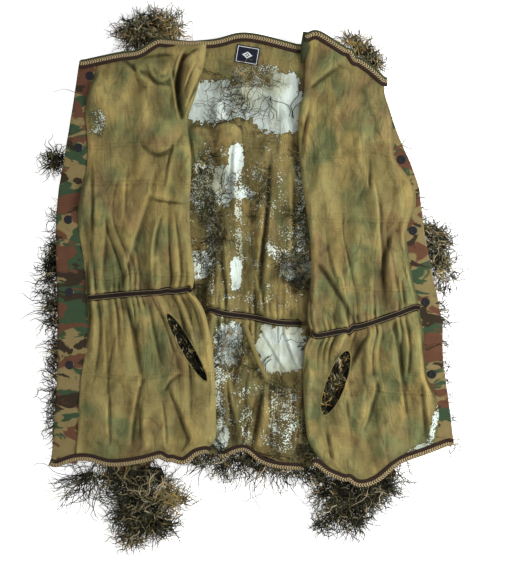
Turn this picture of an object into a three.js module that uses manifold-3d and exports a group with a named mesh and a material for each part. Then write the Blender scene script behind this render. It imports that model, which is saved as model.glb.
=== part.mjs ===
// A ghillie jacket lying open on its back, inside up, as a three.js scene graph of named solids.
// Millimetres, +Z up, +Y towards the neck. Right and left are the wearer's: the right front lies at -X.
// The origin is the middle of the footprint, on the surface that the jacket lies on.
import * as THREE from "three";
import { mergeVertices } from "three/addons/utils/BufferGeometryUtils.js";
import Module from "manifold-3d";

const wasm = await Module();
wasm.setup();

// ---- driving dimensions -------------------------------------------------------------------------

const WIDTH = 652; // across the open jacket, between the placket edges at the hem
const LENGTH = 706; // from the neck to the hem
const DRAWN_WIDTH = 652; // the width and the length that the outlines below are drawn for
const DRAWN_LENGTH = 706;

const CLEARANCE = 0.3; // between faces that touch on the real jacket
const CLOTH = 2.4; // thickness of a gathered cloth layer
const BACK_MAT = 22; // depth of the threads that the back lies on
const FRONT_MAT = 5.2; // depth of the threads on the outside of the fronts
const FOLD_GAP = 2; // between a front panel and its fold line

const PLACKET_WIDTH = 42;
const PLACKET_THICKNESS = 3;
const NECK_TAPE_WIDTH = 11;
const HEM_TAPE_WIDTH = 13;
const ELASTIC_WIDTH = 13;
const TAPE_THICKNESS = 2;
const LABEL_WIDTH = 40;
const LABEL_HEIGHT = 31;
const LABEL_THICKNESS = 0.8;
const LABEL_TURN = -0.17; // radians, as it hangs from the neck tape
const LABEL_SLACK = 10; // of the loop that it hangs by

const SNAP_COUNT = 5;
const FIRST_SNAP = 12; // from the neck end of the placket
const LAST_SNAP = 120; // from the hem end of the shorter placket
const SNAP_RADIUS = 7.5;
const BARREL_RADIUS = 2;

const SLEEVE_WIDTH = 100; // across the flattened sleeve
const SLEEVE_HEIGHT = 24;
const SLEEVE_WALL = 2.4;
const SLEEVE_MAT = 4.7; // depth of the threads that a sleeve lies on
const SLEEVE_GAP = 11; // between a sleeve and the back
const CUFF_LENGTH = 22;
const CUFF_PROUD = 2; // how far the cuff elastic stands out from the sleeve
const FRINGE_LENGTH = 96;
const FRINGE_WIDTH = 140;
const FRINGE_HEIGHT = 33;
const FRINGE_OPENING = 16; // height of the hand's way through the cuff fringe

const SLIT_WELT = 4; // width of the piping round a hand slit
const WELT_THICKNESS = 1.5;
const ARMHOLE_ROLL = 20; // width of the gathered cloth round the open armhole
const ARMHOLE_HEIGHT = 21;
const STACK_GAP = 1.5; // between what lies on top of each other without being sewn

// Heights, from the floor up: sleeves, then the fronts with their threads, and the back on its own.
const SLEEVE_Z = SLEEVE_MAT + CLEARANCE;
const SLEEVE_TOP = SLEEVE_Z + SLEEVE_HEIGHT;
const BACK_Z = BACK_MAT + CLEARANCE;
const BACK_TOP = BACK_Z + CLOTH + CLEARANCE; // where what is sewn on the back sits
const FRONT_MAT_Z = Math.max(SLEEVE_TOP + CUFF_PROUD, FRINGE_HEIGHT) + STACK_GAP;
const FRONT_Z = FRONT_MAT_Z + FRONT_MAT + CLEARANCE;
const SIDE_TOP = FRONT_Z + CLOTH + CLEARANCE; // where what is sewn on the side panels sits
const PLACKET_TOP = FRONT_Z + PLACKET_THICKNESS + CLEARANCE;
const ARMHOLE_Z = SLEEVE_TOP + STACK_GAP;
const TUFT_HEIGHT = FRONT_MAT_Z - CLEARANCE;

const FABRIC = { color: 0x7b7147, roughness: 0.95, metalness: 0 };
const CAMOUFLAGE = { color: 0x5a5a3a, roughness: 0.9, metalness: 0 };
const STRIPED_TAPE = { color: 0x6e5f49, roughness: 0.9, metalness: 0 };
const ELASTIC = { color: 0x2a2420, roughness: 0.85, metalness: 0 };
const THREADS = { color: 0x2f3020, roughness: 1, metalness: 0 };
const LABEL = { color: 0x14161c, roughness: 0.7, metalness: 0 };
const SNAP = { color: 0x191919, roughness: 0.4, metalness: 0.6 };

// ---- outlines, as seen from above ---------------------------------------------------------------

/** Brings drawn points to the jacket's size. */
function graded(points) {
  return points.map(([x, y]) => [(x * WIDTH) / DRAWN_WIDTH, (y * LENGTH) / DRAWN_LENGTH]);
}

// Lines about which the fronts turn over.
const [[RIGHT_FOLD_X], [LEFT_FOLD_X]] = graded([[-139, 0], [175, 0]]);

// Middle lines of the snap plackets, from neck to hem.
const RIGHT_PLACKET = graded([[-266, 354], [-276, 286], [-290, 201], [-303, 120], [-304, 30], [-301, -60],
  [-302, -150], [-305, -220], [-312, -310]]);
const LEFT_PLACKET = graded([[216, 328], [236, 270], [257, 210], [277, 150], [281, 60], [296, -20],
  [309, -80], [309, -140], [317, -195], [328, -282]]);

// Inner edges of the side panels, where the cloth rolls under and meets the back.
const RIGHT_ROLL = graded([[-112, 252], [-104, 200], [-108, 120], [-104, 48], [-94, -20], [-78, -71],
  [-68, -122], [-63, -207], [-62, -289]]);
const LEFT_ROLL = graded([[95, 300], [94, 235], [101, 160], [112, 85], [117, 22], [112, -39],
  [103, -122], [103, -207], [111, -288]]);

const RIGHT_NECK = graded([[-286, 358], [-250, 366], [-217, 373], [-182, 378], [-163, 391], [-146, 400]]);
const BACK_NECK = graded([[-98, 394], [-50, 399], [-14, 409], [12, 407], [46, 399], [90, 387]]);
const LEFT_SIDE_NECK = graded([[99, 402], [113, 411], [139, 397], [168, 378]]);
const LEFT_NECK = graded([[182, 368], [207, 350], [233, 326]]);

const RIGHT_HEM = graded([[-330, -317], [-294, -304], [-265, -304], [-241, -312], [-211, -312], [-168, -304],
  [-144, -296]]);
const RIGHT_SIDE_HEM = graded([[-134, -303], [-107, -310], [-92, -296], [-66, -289]]);
const BACK_HEM = graded([[-46, -304], [-20, -291], [0, -290], [16, -306], [42, -317], [94, -322]]);
const LEFT_SIDE_HEM = graded([[114, -308], [131, -324], [169, -341]]);
const LEFT_HEM = graded([[181, -346], [198, -348], [223, -337], [252, -311], [301, -292], [346, -275]]);

const RIGHT_WAIST = graded([[-272, -34], [-230, -30], [-196, -27], [-144, -24]]);
const RIGHT_SIDE_WAIST = graded([[-135, -23], [-116, -22], [-97, -18]]);
const BACK_WAIST = graded([[-68, -51], [-48, -59], [10, -67], [54, -76], [92, -77]]);
const LEFT_SIDE_WAIST = graded([[112, -99], [140, -94], [169, -88]]);
const LEFT_WAIST = graded([[181, -85], [234, -68], [290, -47]]);

// Centre lines of the sleeves, from the armhole round the elbow to the wrist. The second point is
// where the sleeve turns at the shoulder.
const RIGHT_ARM = graded([[-166, 338], [-170, 318], [-195, 230], [-243, 85], [-260, -30], [-250, -150],
  [-218, -260], [-196, -325]]);
const LEFT_ARM = graded([[168, 338], [172, 318], [192, 230], [232, 85], [245, -30], [238, -150],
  [218, -260], [206, -325]]);

const RIGHT_ARMHOLE = { centre: [-134, 328], radii: [48, 58] };
const ARM_WAY = { centre: [-146, 322], radii: [19, 31] }; // hole in the sleeve under the armhole
const RIGHT_SLIT = { centre: [-99, -132], radii: [45, 10], turn: Math.atan2(-89, 49) };
const LEFT_SLIT = { centre: [144, -178], radii: [48, 14], turn: Math.atan2(-104, -44) };

// ---- helpers ------------------------------------------------------------------------------------

const jacket = new THREE.Group();

/** Adds one named sub-part to the jacket. */
function add(name, geometry, look) {
  const mesh = new THREE.Mesh(geometry, new THREE.MeshStandardMaterial(look));
  mesh.name = name;
  jacket.add(mesh);
}

/** A smooth level curve through points. */
function line(points, z = 0) {
  return new THREE.CatmullRomCurve3(points.map(([x, y]) => new THREE.Vector3(x, y, z)), false, "centripetal");
}

/** Points beside a curve, at a distance to the left of its direction. */
function beside(points, distance, count = 16) {
  const curve = line(points);
  return Array.from({ length: count + 1 }, (_, i) => {
    const at = curve.getPointAt(i / count);
    const way = curve.getTangentAt(i / count);
    return [at.x - way.y * distance, at.y + way.x * distance];
  });
}

/** Drawn points of an ellipse, or of the part of it between two angles, brought to size. */
function oval({ centre, radii, turn = 0 }, grow = 0, count = 28, from = 0, to = 2 * Math.PI) {
  const steps = to - from >= 2 * Math.PI ? count : count - 1;
  return graded(Array.from({ length: count }, (_, i) => {
    const angle = from + ((to - from) * i) / steps;
    const x = (radii[0] + grow) * Math.cos(angle);
    const y = (radii[1] + grow) * Math.sin(angle);
    const [cos, sin] = [Math.cos(turn), Math.sin(turn)];
    return [centre[0] + x * cos - y * sin, centre[1] + x * sin + y * cos];
  }));
}

/** Points of a circle. */
function circle([x, y], radius, count = 12) {
  return Array.from({ length: count }, (_, i) => {
    const angle = (2 * Math.PI * i) / count;
    return [x + radius * Math.cos(angle), y + radius * Math.sin(angle)];
  });
}

function shape(outline, holes = []) {
  const made = new THREE.Shape(outline.map(([x, y]) => new THREE.Vector2(x, y)));
  made.holes = holes.map((hole) => new THREE.Path(hole.map(([x, y]) => new THREE.Vector2(x, y))));
  return made;
}

/** A level sheet of cloth with an outline and holes. */
function plate(outline, z, thickness, holes = []) {
  return new THREE.ExtrudeGeometry(shape(outline, holes), { depth: thickness, bevelEnabled: false })
    .translate(0, 0, z);
}

/** A section carried along a level curve. The section's x is downwards, and its y is to the left of
 * a curve that runs towards -Y, as seen from below. */
function sweep(section, curve, steps) {
  return new THREE.ExtrudeGeometry(section, { steps, bevelEnabled: false, extrudePath: curve });
}

/** A flat tape along a level line. */
function tape(points, z, width, thickness = TAPE_THICKNESS, steps = 14) {
  const [w, t] = [width / 2, thickness / 2];
  return sweep(shape([[-t, -w], [t, -w], [t, w], [-t, w]]), line(points, z + t), steps);
}

/** A section of a flattened tube: a slot with round ends, and its hollow. */
function tubeSection(width, height, innerWidth, innerHeight) {
  const slot = (w, h) => {
    const round = (y, from) => Array.from({ length: 7 }, (_, i) => {
      const angle = from + (Math.PI * i) / 6;
      return [(h / 2) * Math.cos(angle), y + (h / 2) * Math.sin(angle)];
    });
    return [...round((w - h) / 2, 0), ...round(-(w - h) / 2, Math.PI)];
  };
  return shape(slot(width, height), [slot(innerWidth, innerHeight).reverse()]);
}

/** A rounded heap of threads: flat below, domed above. */
function heap(centre, radii, height, turn = 0) {
  const profile = [[0, 0], [0.86, 0], [1, 0.25], [0.94, 0.6], [0.7, 0.9], [0.35, 1], [0, 1]];
  return new THREE.LatheGeometry(profile.map(([r, z]) => new THREE.Vector2(r, z)), 18)
    .rotateX(Math.PI / 2)
    .scale(radii[0], radii[1], height)
    .rotateZ(turn)
    .translate(centre[0], centre[1], 0);
}

function solid(geometry) {
  const bare = geometry.clone();
  for (const extra of ["normal", "uv"]) bare.deleteAttribute(extra);
  const merged = mergeVertices(bare, 1e-3);
  return new wasm.Manifold(new wasm.Mesh({
    numProp: 3,
    vertProperties: merged.attributes.position.array,
    triVerts: new Uint32Array(merged.index.array),
  }));
}

function geometryOf(made) {
  const { vertProperties, triVerts } = made.getMesh();
  return new THREE.BufferGeometry()
    .setAttribute("position", new THREE.BufferAttribute(vertProperties, 3))
    .setIndex(new THREE.BufferAttribute(triVerts, 1));
}

const join = (a, b) => geometryOf(solid(a).add(solid(b)));
const cut = (a, b) => geometryOf(solid(a).subtract(solid(b)));

/** A turned piece on the Z axis through a point. */
function turned(profile, [x, y], z, segments = 16) {
  return new THREE.LatheGeometry(profile.map(([r, h]) => new THREE.Vector2(r, h)), segments)
    .rotateX(Math.PI / 2)
    .translate(x, y, z);
}

// ---- snaps --------------------------------------------------------------------------------------

// The same pitch on both plackets, so that each cap meets its stud.
const SHORTER_PLACKET = Math.min(line(RIGHT_PLACKET).getLength(), line(LEFT_PLACKET).getLength());
const SNAP_PITCH = (SHORTER_PLACKET - FIRST_SNAP - LAST_SNAP) / (SNAP_COUNT - 1);

/** Snap places along a placket. */
function snapPlaces(placket) {
  const curve = line(placket);
  const length = curve.getLength();
  return Array.from({ length: SNAP_COUNT }, (_, i) => {
    const at = curve.getPointAt((FIRST_SNAP + i * SNAP_PITCH) / length);
    return [at.x, at.y];
  });
}

const BELOW = FRONT_Z - CLEARANCE; // where the outside half of a snap sits
const BARREL_END = FRONT_Z - PLACKET_TOP; // the barrel stops flush with the outside of the placket
const BARREL_BORE = BARREL_RADIUS + CLEARANCE;

/** The inside half of a stud snap: a flange whose barrel passes through the placket. */
function post(place) {
  return turned([[0, BARREL_END], [BARREL_RADIUS, BARREL_END], [BARREL_RADIUS, 0], [SNAP_RADIUS, 0],
    [SNAP_RADIUS, 0.9], [SNAP_RADIUS - 1.1, 1.7], [3.6, 1.7], [3, 1], [0, 1]], place, PLACKET_TOP);
}

/** The outside half of a stud snap: a base with a ball-ended stud. */
function stud(place) {
  return turned([[0, -4.1], [1.9, -4.1], [2.4, -3.3], [2, -2], [3.4, -1.6], [SNAP_RADIUS - 0.7, -1.2],
    [SNAP_RADIUS - 0.7, 0], [0, 0]],
    place, BELOW);
}

/** The inside half of a cap snap: a socket ring that takes the stud, with the cap's barrel. */
function socket(place) {
  return turned([[0, BARREL_END], [BARREL_RADIUS, BARREL_END], [BARREL_RADIUS, 0], [SNAP_RADIUS, 0],
    [SNAP_RADIUS, 1.4], [SNAP_RADIUS - 1.3, 2.4], [3.4, 2.4], [2.8, 1], [0, 1]], place, PLACKET_TOP);
}

/** The outside half of a cap snap: a shallow dome. */
function cap(place) {
  return turned([[0, -2.8], [3.6, -2.6], [SNAP_RADIUS - 1.1, -1.8], [SNAP_RADIUS, -0.6], [SNAP_RADIUS, 0],
    [0, 0]], place, BELOW);
}

function addSnaps(side, placket, [insideName, inside], [outsideName, outside]) {
  snapPlaces(placket).forEach((place, i) => {
    add(`${side}_${insideName}_${i + 1}`, inside(place), SNAP);
    add(`${side}_${outsideName}_${i + 1}`, outside(place), SNAP);
  });
}

/** A placket: a doubled camouflage band with a hole for each snap barrel. */
function placketBand(placket) {
  const edgeIn = beside(placket, PLACKET_WIDTH / 2);
  const edgeOut = beside(placket, -PLACKET_WIDTH / 2);
  const holes = snapPlaces(placket).map((place) => circle(place, BARREL_BORE));
  return plate([...edgeIn, ...edgeOut.reverse()], FRONT_Z, PLACKET_THICKNESS, holes);
}

// ---- back ---------------------------------------------------------------------------------------

// The back and its threads fill the floor between the two sleeves.
const BACK_RIGHT_X = RIGHT_ARM[0][0] + SLEEVE_WIDTH / 2 + SLEEVE_GAP;
const BACK_LEFT_X = LEFT_ARM[0][0] - SLEEVE_WIDTH / 2 - SLEEVE_GAP;

function backOutline(inset) {
  const hem = BACK_HEM.map(([x, y]) => [x, y + inset]);
  const neck = BACK_NECK.map(([x, y]) => [x, y - inset]);
  const [first, last] = [hem[0], hem[hem.length - 1]];
  const [right, left] = [BACK_RIGHT_X + inset, BACK_LEFT_X - inset];
  return [[right, neck[0][1]], [right, first[1]], ...hem, [left, last[1]], [left, neck[neck.length - 1][1]],
    ...neck.slice(1).reverse()];
}

/** The threads under the back, with the fringe that hangs over its hem beside the left cuff. */
function backThreads() {
  const mat = plate(backOutline(3), 0, BACK_MAT);
  const end = LEFT_ARM[LEFT_ARM.length - 1][0] - FRINGE_WIDTH / 2 - 24;
  const hem = BACK_HEM[BACK_HEM.length - 2][1];
  const fringe = [[end, hem + 20], [end - 92, hem + 40], [end - 90, hem - 22], [end - 50, hem - 34],
    [end - 4, hem - 30]];
  return join(mat, plate(fringe, 0, BACK_MAT - CLEARANCE));
}

function addBack() {
  add("back_panel", plate(backOutline(0), BACK_Z, CLOTH), FABRIC);
  add("back_thread_mat", backThreads(), THREADS);
  add("back_neck_tape", tape(BACK_NECK, BACK_TOP, NECK_TAPE_WIDTH), STRIPED_TAPE);
  add("back_waist_elastic", tape(BACK_WAIST, BACK_TOP, ELASTIC_WIDTH), ELASTIC);
  add("back_hem_tape", tape(BACK_HEM, BACK_TOP, HEM_TAPE_WIDTH), STRIPED_TAPE);

  const half = LABEL_WIDTH / 2;
  const outline = [[-half, -LABEL_HEIGHT], [half, -LABEL_HEIGHT], [half, 0], [-half, 0]];
  const label = plate(outline, BACK_TOP, LABEL_THICKNESS).rotateZ(LABEL_TURN);
  const [[x1, y1], [x2, y2]] = BACK_NECK.slice(2, 4);
  const drop = (NECK_TAPE_WIDTH + LABEL_SLACK) / 2;
  add("neck_label", label.translate((x1 + x2) / 2 + 3, (y1 + y2) / 2 - drop, 0), LABEL);
}

/** The cloth between a front and the back: a level strip whose inner edge rolls under. */
function sidePanel(outline, roll, slit, side) {
  const strip = plate(outline, FRONT_Z, CLOTH, [oval(slit).reverse()]);
  const rollTop = FRONT_Z + CLOTH;
  const rollBottom = BACK_TOP;
  const radius = (rollTop - rollBottom) / 2;
  const arc = (r, from, to) => Array.from({ length: 9 }, (_, i) => {
    const angle = from + ((to - from) * i) / 8;
    return [r * Math.sin(angle), side * r * Math.cos(angle)];
  });
  const lead = -2 * side; // runs back into the strip, so that the two join
  const section = shape([[-radius, lead], ...arc(radius, -Math.PI / 2, Math.PI / 2),
    ...arc(radius - CLOTH, Math.PI / 2, -Math.PI / 2), [CLOTH - radius, lead]]);
  return join(strip, sweep(section, line(roll, (rollTop + rollBottom) / 2), 22));
}

/** A ring of piping round a hand slit. */
function welt(slit) {
  return plate(oval(slit, CLEARANCE + SLIT_WELT), SIDE_TOP, WELT_THICKNESS,
    [oval(slit, CLEARANCE).reverse()]);
}

function addSidePanels() {
  const rightSeam = RIGHT_FOLD_X + FOLD_GAP;
  const leftSeam = LEFT_FOLD_X - FOLD_GAP;
  const rightTop = [rightSeam, RIGHT_ROLL[0][1]];
  const rightOutline = [rightTop, [rightSeam, RIGHT_SIDE_HEM[0][1]], ...RIGHT_SIDE_HEM.slice(1, 3),
    ...[...RIGHT_ROLL].reverse()];
  const leftOutline = [[leftSeam, LEFT_SIDE_NECK[3][1]], ...LEFT_SIDE_NECK.slice(0, 3).reverse(), ...LEFT_ROLL,
    LEFT_SIDE_HEM[1], [leftSeam, LEFT_SIDE_HEM[2][1]]];
  add("right_side_panel", sidePanel(rightOutline, RIGHT_ROLL, RIGHT_SLIT, 1), FABRIC);
  add("left_side_panel", sidePanel(leftOutline, LEFT_ROLL, LEFT_SLIT, -1), FABRIC);
  add("left_side_neck_tape", tape(LEFT_SIDE_NECK, SIDE_TOP, NECK_TAPE_WIDTH), STRIPED_TAPE);
  add("right_side_waist_elastic", tape(RIGHT_SIDE_WAIST, SIDE_TOP, ELASTIC_WIDTH), ELASTIC);
  add("left_side_waist_elastic", tape(LEFT_SIDE_WAIST, SIDE_TOP, ELASTIC_WIDTH), ELASTIC);
  add("right_side_hem_tape", tape(RIGHT_SIDE_HEM, SIDE_TOP, HEM_TAPE_WIDTH), STRIPED_TAPE);
  add("left_side_hem_tape", tape(LEFT_SIDE_HEM, SIDE_TOP, HEM_TAPE_WIDTH), STRIPED_TAPE);
  add("right_slit_welt", welt(RIGHT_SLIT), FABRIC);
  add("left_slit_welt", welt(LEFT_SLIT), FABRIC);
}

/** The gathered cloth round the open armhole. */
function addArmhole() {
  const hole = oval(RIGHT_ARMHOLE, -ARMHOLE_ROLL).reverse();
  add("right_armhole_roll", plate(oval(RIGHT_ARMHOLE), ARMHOLE_Z, ARMHOLE_HEIGHT, [hole]), FABRIC);
}

// ---- fronts -------------------------------------------------------------------------------------

const MAT_INSET = 4; // how far the thread mats stay inside the edges of the cloth

/** The part of the armhole's outline that bites into the right front, from its neck side down. */
function armholeNotch(inner) {
  const drawnInner = (inner * DRAWN_WIDTH) / WIDTH;
  const reach = (RIGHT_ARMHOLE.centre[0] - drawnInner) / (RIGHT_ARMHOLE.radii[0] + FOLD_GAP + 1);
  const half = Math.acos(reach);
  return oval(RIGHT_ARMHOLE, FOLD_GAP + 1, 15, Math.PI - half, Math.PI + half);
}

function addRightFront() {
  const inner = RIGHT_FOLD_X - FOLD_GAP;
  const notch = armholeNotch(inner).reverse();
  const [neck, hem] = [RIGHT_NECK.slice(2), RIGHT_HEM.slice(2, 6)];
  const panel = [...beside(RIGHT_PLACKET, PLACKET_WIDTH / 2 + CLEARANCE), ...hem, [inner, RIGHT_HEM[6][1]],
    ...notch, [inner, RIGHT_NECK[5][1]], ...neck.reverse()];
  add("right_front_panel", plate(panel, FRONT_Z, CLOTH), FABRIC);
  add("right_placket", placketBand(RIGHT_PLACKET), CAMOUFLAGE);
  add("right_neck_tape", tape(RIGHT_NECK, PLACKET_TOP, NECK_TAPE_WIDTH), STRIPED_TAPE);
  add("right_waist_elastic", tape(RIGHT_WAIST, PLACKET_TOP, ELASTIC_WIDTH), ELASTIC);
  add("right_hem_tape", tape(RIGHT_HEM, PLACKET_TOP, HEM_TAPE_WIDTH), STRIPED_TAPE);
  const [matSide, matTop] = [inner - MAT_INSET, RIGHT_ROLL[0][1]];
  const matNeck = [RIGHT_NECK[2][0], RIGHT_NECK[2][1] - MAT_INSET];
  const mat = [...beside(RIGHT_PLACKET, PLACKET_WIDTH / 2 + MAT_INSET), [matSide, RIGHT_HEM[6][1] + MAT_INSET],
    [matSide, matTop], [RIGHT_NECK[3][0] - MAT_INSET, matTop], matNeck];
  add("right_front_thread_mat", plate(mat, FRONT_MAT_Z, FRONT_MAT), THREADS);
  addSnaps("right", RIGHT_PLACKET, ["post", post], ["stud", stud]);
}

function addLeftFront() {
  const inner = LEFT_FOLD_X + FOLD_GAP;
  const [neck, hem] = [LEFT_NECK[0][1], LEFT_HEM.slice(1, 4).reverse()];
  const panel = [...beside(LEFT_PLACKET, -PLACKET_WIDTH / 2 - CLEARANCE), ...hem, [inner, LEFT_HEM[0][1]],
    [inner, neck]];
  add("left_front_panel", plate(panel, FRONT_Z, CLOTH), FABRIC);
  add("left_placket", placketBand(LEFT_PLACKET), CAMOUFLAGE);
  add("left_neck_tape", tape(LEFT_NECK, PLACKET_TOP, NECK_TAPE_WIDTH), STRIPED_TAPE);
  add("left_waist_elastic", tape(LEFT_WAIST, PLACKET_TOP, ELASTIC_WIDTH), ELASTIC);
  add("left_hem_tape", tape(LEFT_HEM, PLACKET_TOP, HEM_TAPE_WIDTH), STRIPED_TAPE);
  const matSide = inner + MAT_INSET;
  const mat = [...beside(LEFT_PLACKET, -PLACKET_WIDTH / 2 - MAT_INSET), [matSide, LEFT_HEM[0][1] + MAT_INSET],
    [matSide, neck - MAT_INSET]];
  add("left_front_thread_mat", plate(mat, FRONT_MAT_Z, FRONT_MAT), THREADS);
  addSnaps("left", LEFT_PLACKET, ["socket", socket], ["cap", cap]);
}

// ---- sleeves ------------------------------------------------------------------------------------

/** A flattened sleeve with its threads, its cuff elastic and the fringe round the hand's way out. */
function addSleeve(side, arm, wayIn) {
  const middleZ = SLEEVE_Z + SLEEVE_HEIGHT / 2;
  const path = line(arm, middleZ);
  const [innerWidth, innerHeight] = [SLEEVE_WIDTH - 2 * SLEEVE_WALL, SLEEVE_HEIGHT - 2 * SLEEVE_WALL];
  let tube = sweep(tubeSection(SLEEVE_WIDTH, SLEEVE_HEIGHT, innerWidth, innerHeight), path, 26);
  if (wayIn) tube = cut(tube, plate(oval(wayIn), middleZ, SLEEVE_HEIGHT));
  add(`${side}_sleeve`, tube, CAMOUFLAGE);

  const matHalf = SLEEVE_WIDTH / 2 - MAT_INSET;
  const mat = [...beside(arm, matHalf), ...beside(arm, -matHalf).reverse()];
  add(`${side}_sleeve_thread_mat`, plate(mat, 0, SLEEVE_MAT), THREADS);

  const wrist = path.getPointAt(1);
  const way = path.getTangentAt(1);
  const along = (from, to, z) => {
    const at = (distance) => wrist.clone().addScaledVector(way, distance).setZ(z);
    return new THREE.LineCurve3(at(from), at(to));
  };
  const [cuffWidth, cuffHeight] = [SLEEVE_WIDTH + 2 * CUFF_PROUD, SLEEVE_HEIGHT + 2 * CUFF_PROUD];
  const cuff = tubeSection(cuffWidth, cuffHeight, innerWidth, innerHeight);
  add(`${side}_cuff_elastic`, sweep(cuff, along(CLEARANCE, CUFF_LENGTH, middleZ), 1), ELASTIC);
  const fringe = tubeSection(FRINGE_WIDTH, FRINGE_HEIGHT, innerWidth, FRINGE_OPENING);
  const fringeStart = CUFF_LENGTH + CLEARANCE;
  add(`${side}_cuff_fringe`,
    sweep(fringe, along(fringeStart, fringeStart + FRINGE_LENGTH, FRINGE_HEIGHT / 2), 1), THREADS);
}

/** A tuft that lies against the outer side of a sleeve, at a share of its length. */
function armTuft(name, arm, share, side, radii) {
  const at = line(arm).getPointAt(share);
  const out = SLEEVE_WIDTH / 2 + radii[0] + CLEARANCE;
  add(name, heap([at.x + side * out, at.y], radii, TUFT_HEIGHT), THREADS);
}

function addTufts() {
  armTuft("right_elbow_tuft", RIGHT_ARM, 0.6, -1, [40, 120]);
  armTuft("left_elbow_tuft", LEFT_ARM, 0.46, 1, [50, 76]);
  const [rightEdge, shoulder] = [BACK_RIGHT_X - CLEARANCE, RIGHT_ARM[0][1] + SLEEVE_WIDTH / 2];
  add("right_shoulder_tuft", heap([rightEdge - 54, shoulder + 32], [54, 40], TUFT_HEIGHT), THREADS);
  const [x, y] = LEFT_NECK[1];
  add("left_shoulder_tuft", heap([x + 4, y + 36], [48, 16], TUFT_HEIGHT, -0.67), THREADS);
}

addBack();
addSidePanels();
addArmhole();
addRightFront();
addLeftFront();
addSleeve("right", RIGHT_ARM, ARM_WAY);
addSleeve("left", LEFT_ARM, null);
addTufts();

// The origin is the middle of the footprint.
const middle = new THREE.Box3().setFromObject(jacket).getCenter(new THREE.Vector3());
jacket.position.set(-middle.x, -middle.y, 0);

export default jacket;
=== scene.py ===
"""The looks of a ghillie jacket that lies open on its back, inside up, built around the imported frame.

Lengths are in millimetres until a mesh is finished, and the finished meshes are in metres.
"""

import logging
import math
from dataclasses import dataclass, field
from enum import Enum
from typing import Callable, ClassVar, Sequence

import bmesh
import bpy
import numpy as np
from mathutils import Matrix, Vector
from mathutils.bvhtree import BVHTree


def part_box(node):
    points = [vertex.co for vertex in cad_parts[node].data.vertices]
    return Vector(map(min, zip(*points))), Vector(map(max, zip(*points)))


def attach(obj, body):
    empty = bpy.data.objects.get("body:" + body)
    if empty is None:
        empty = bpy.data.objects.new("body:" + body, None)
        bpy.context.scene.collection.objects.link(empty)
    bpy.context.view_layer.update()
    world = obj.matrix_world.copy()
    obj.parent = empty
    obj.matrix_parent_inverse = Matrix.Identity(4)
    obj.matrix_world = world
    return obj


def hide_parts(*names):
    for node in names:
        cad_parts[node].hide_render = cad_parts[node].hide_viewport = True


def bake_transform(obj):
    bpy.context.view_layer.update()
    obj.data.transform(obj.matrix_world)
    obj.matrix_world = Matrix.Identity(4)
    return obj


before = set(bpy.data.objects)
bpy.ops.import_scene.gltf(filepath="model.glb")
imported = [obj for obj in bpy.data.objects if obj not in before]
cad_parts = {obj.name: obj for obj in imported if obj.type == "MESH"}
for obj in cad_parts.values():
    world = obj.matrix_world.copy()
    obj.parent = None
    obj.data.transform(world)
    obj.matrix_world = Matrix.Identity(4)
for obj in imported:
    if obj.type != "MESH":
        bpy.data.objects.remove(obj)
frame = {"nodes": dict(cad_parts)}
Piece = bpy.types.Object
Finish = bpy.types.Material
Curve = Callable[[np.ndarray], np.ndarray]
Roots = Callable[[np.random.Generator, int], np.ndarray]
LOG = logging.getLogger("ghillie_jacket")
MM = 0.001

# ---- finishes ------------------------------------------------------------------------------------


def srgb(red: int, green: int, blue: int) -> tuple[float, float, float, float]:
    """A colour given in 0 to 255 steps, as the linear colour that a shader takes."""
    steps = (value / 255 for value in (red, green, blue))
    return tuple(c / 12.92 if c <= 0.04045 else ((c + 0.055) / 1.055) ** 2.4 for c in steps) + (1.0,)


class Expr:
    """A shader socket that arithmetic adds nodes to."""

    def __init__(self, graph: "Graph", socket: bpy.types.NodeSocket) -> None:
        """Wraps a socket.

        Args:
            graph: The material that the socket is in.
            socket: An output socket.
        """
        self.graph = graph
        self.socket = socket

    def _math(self, operation: str, *operands: "Expr | float") -> "Expr":
        """Adds a Math node.

        Args:
            operation: The node's operation.
            operands: Its inputs, in order.

        Returns:
            The node's result.
        """
        return self.graph.node("ShaderNodeMath", {"operation": operation}, dict(enumerate(operands)))

    def __add__(self, other: "Expr | float") -> "Expr":
        """Adds."""
        return self._math("ADD", self, other)

    __radd__ = __add__

    def __sub__(self, other: "Expr | float") -> "Expr":
        """Subtracts."""
        return self._math("SUBTRACT", self, other)

    def __rsub__(self, other: float) -> "Expr":
        """Subtracts, from the right."""
        return self._math("SUBTRACT", other, self)

    def __mul__(self, other: "Expr | float") -> "Expr":
        """Multiplies."""
        return self._math("MULTIPLY", self, other)

    __rmul__ = __mul__

    def wave(self) -> "Expr":
        """The sine."""
        return self._math("SINE", self)

    def size(self) -> "Expr":
        """The absolute value."""
        return self._math("ABSOLUTE", self)

    def step(self, low: float, high: float) -> "Expr":
        """Rises smoothly from 0 to 1 between two values.

        Args:
            low: Where it starts to rise.
            high: Where it reaches 1.

        Returns:
            The smooth step.
        """
        settings = {"interpolation_type": "SMOOTHSTEP"}
        inputs = {"Value": self, "From Min": low, "From Max": high}
        return self.graph.node("ShaderNodeMapRange", settings, inputs)


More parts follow.
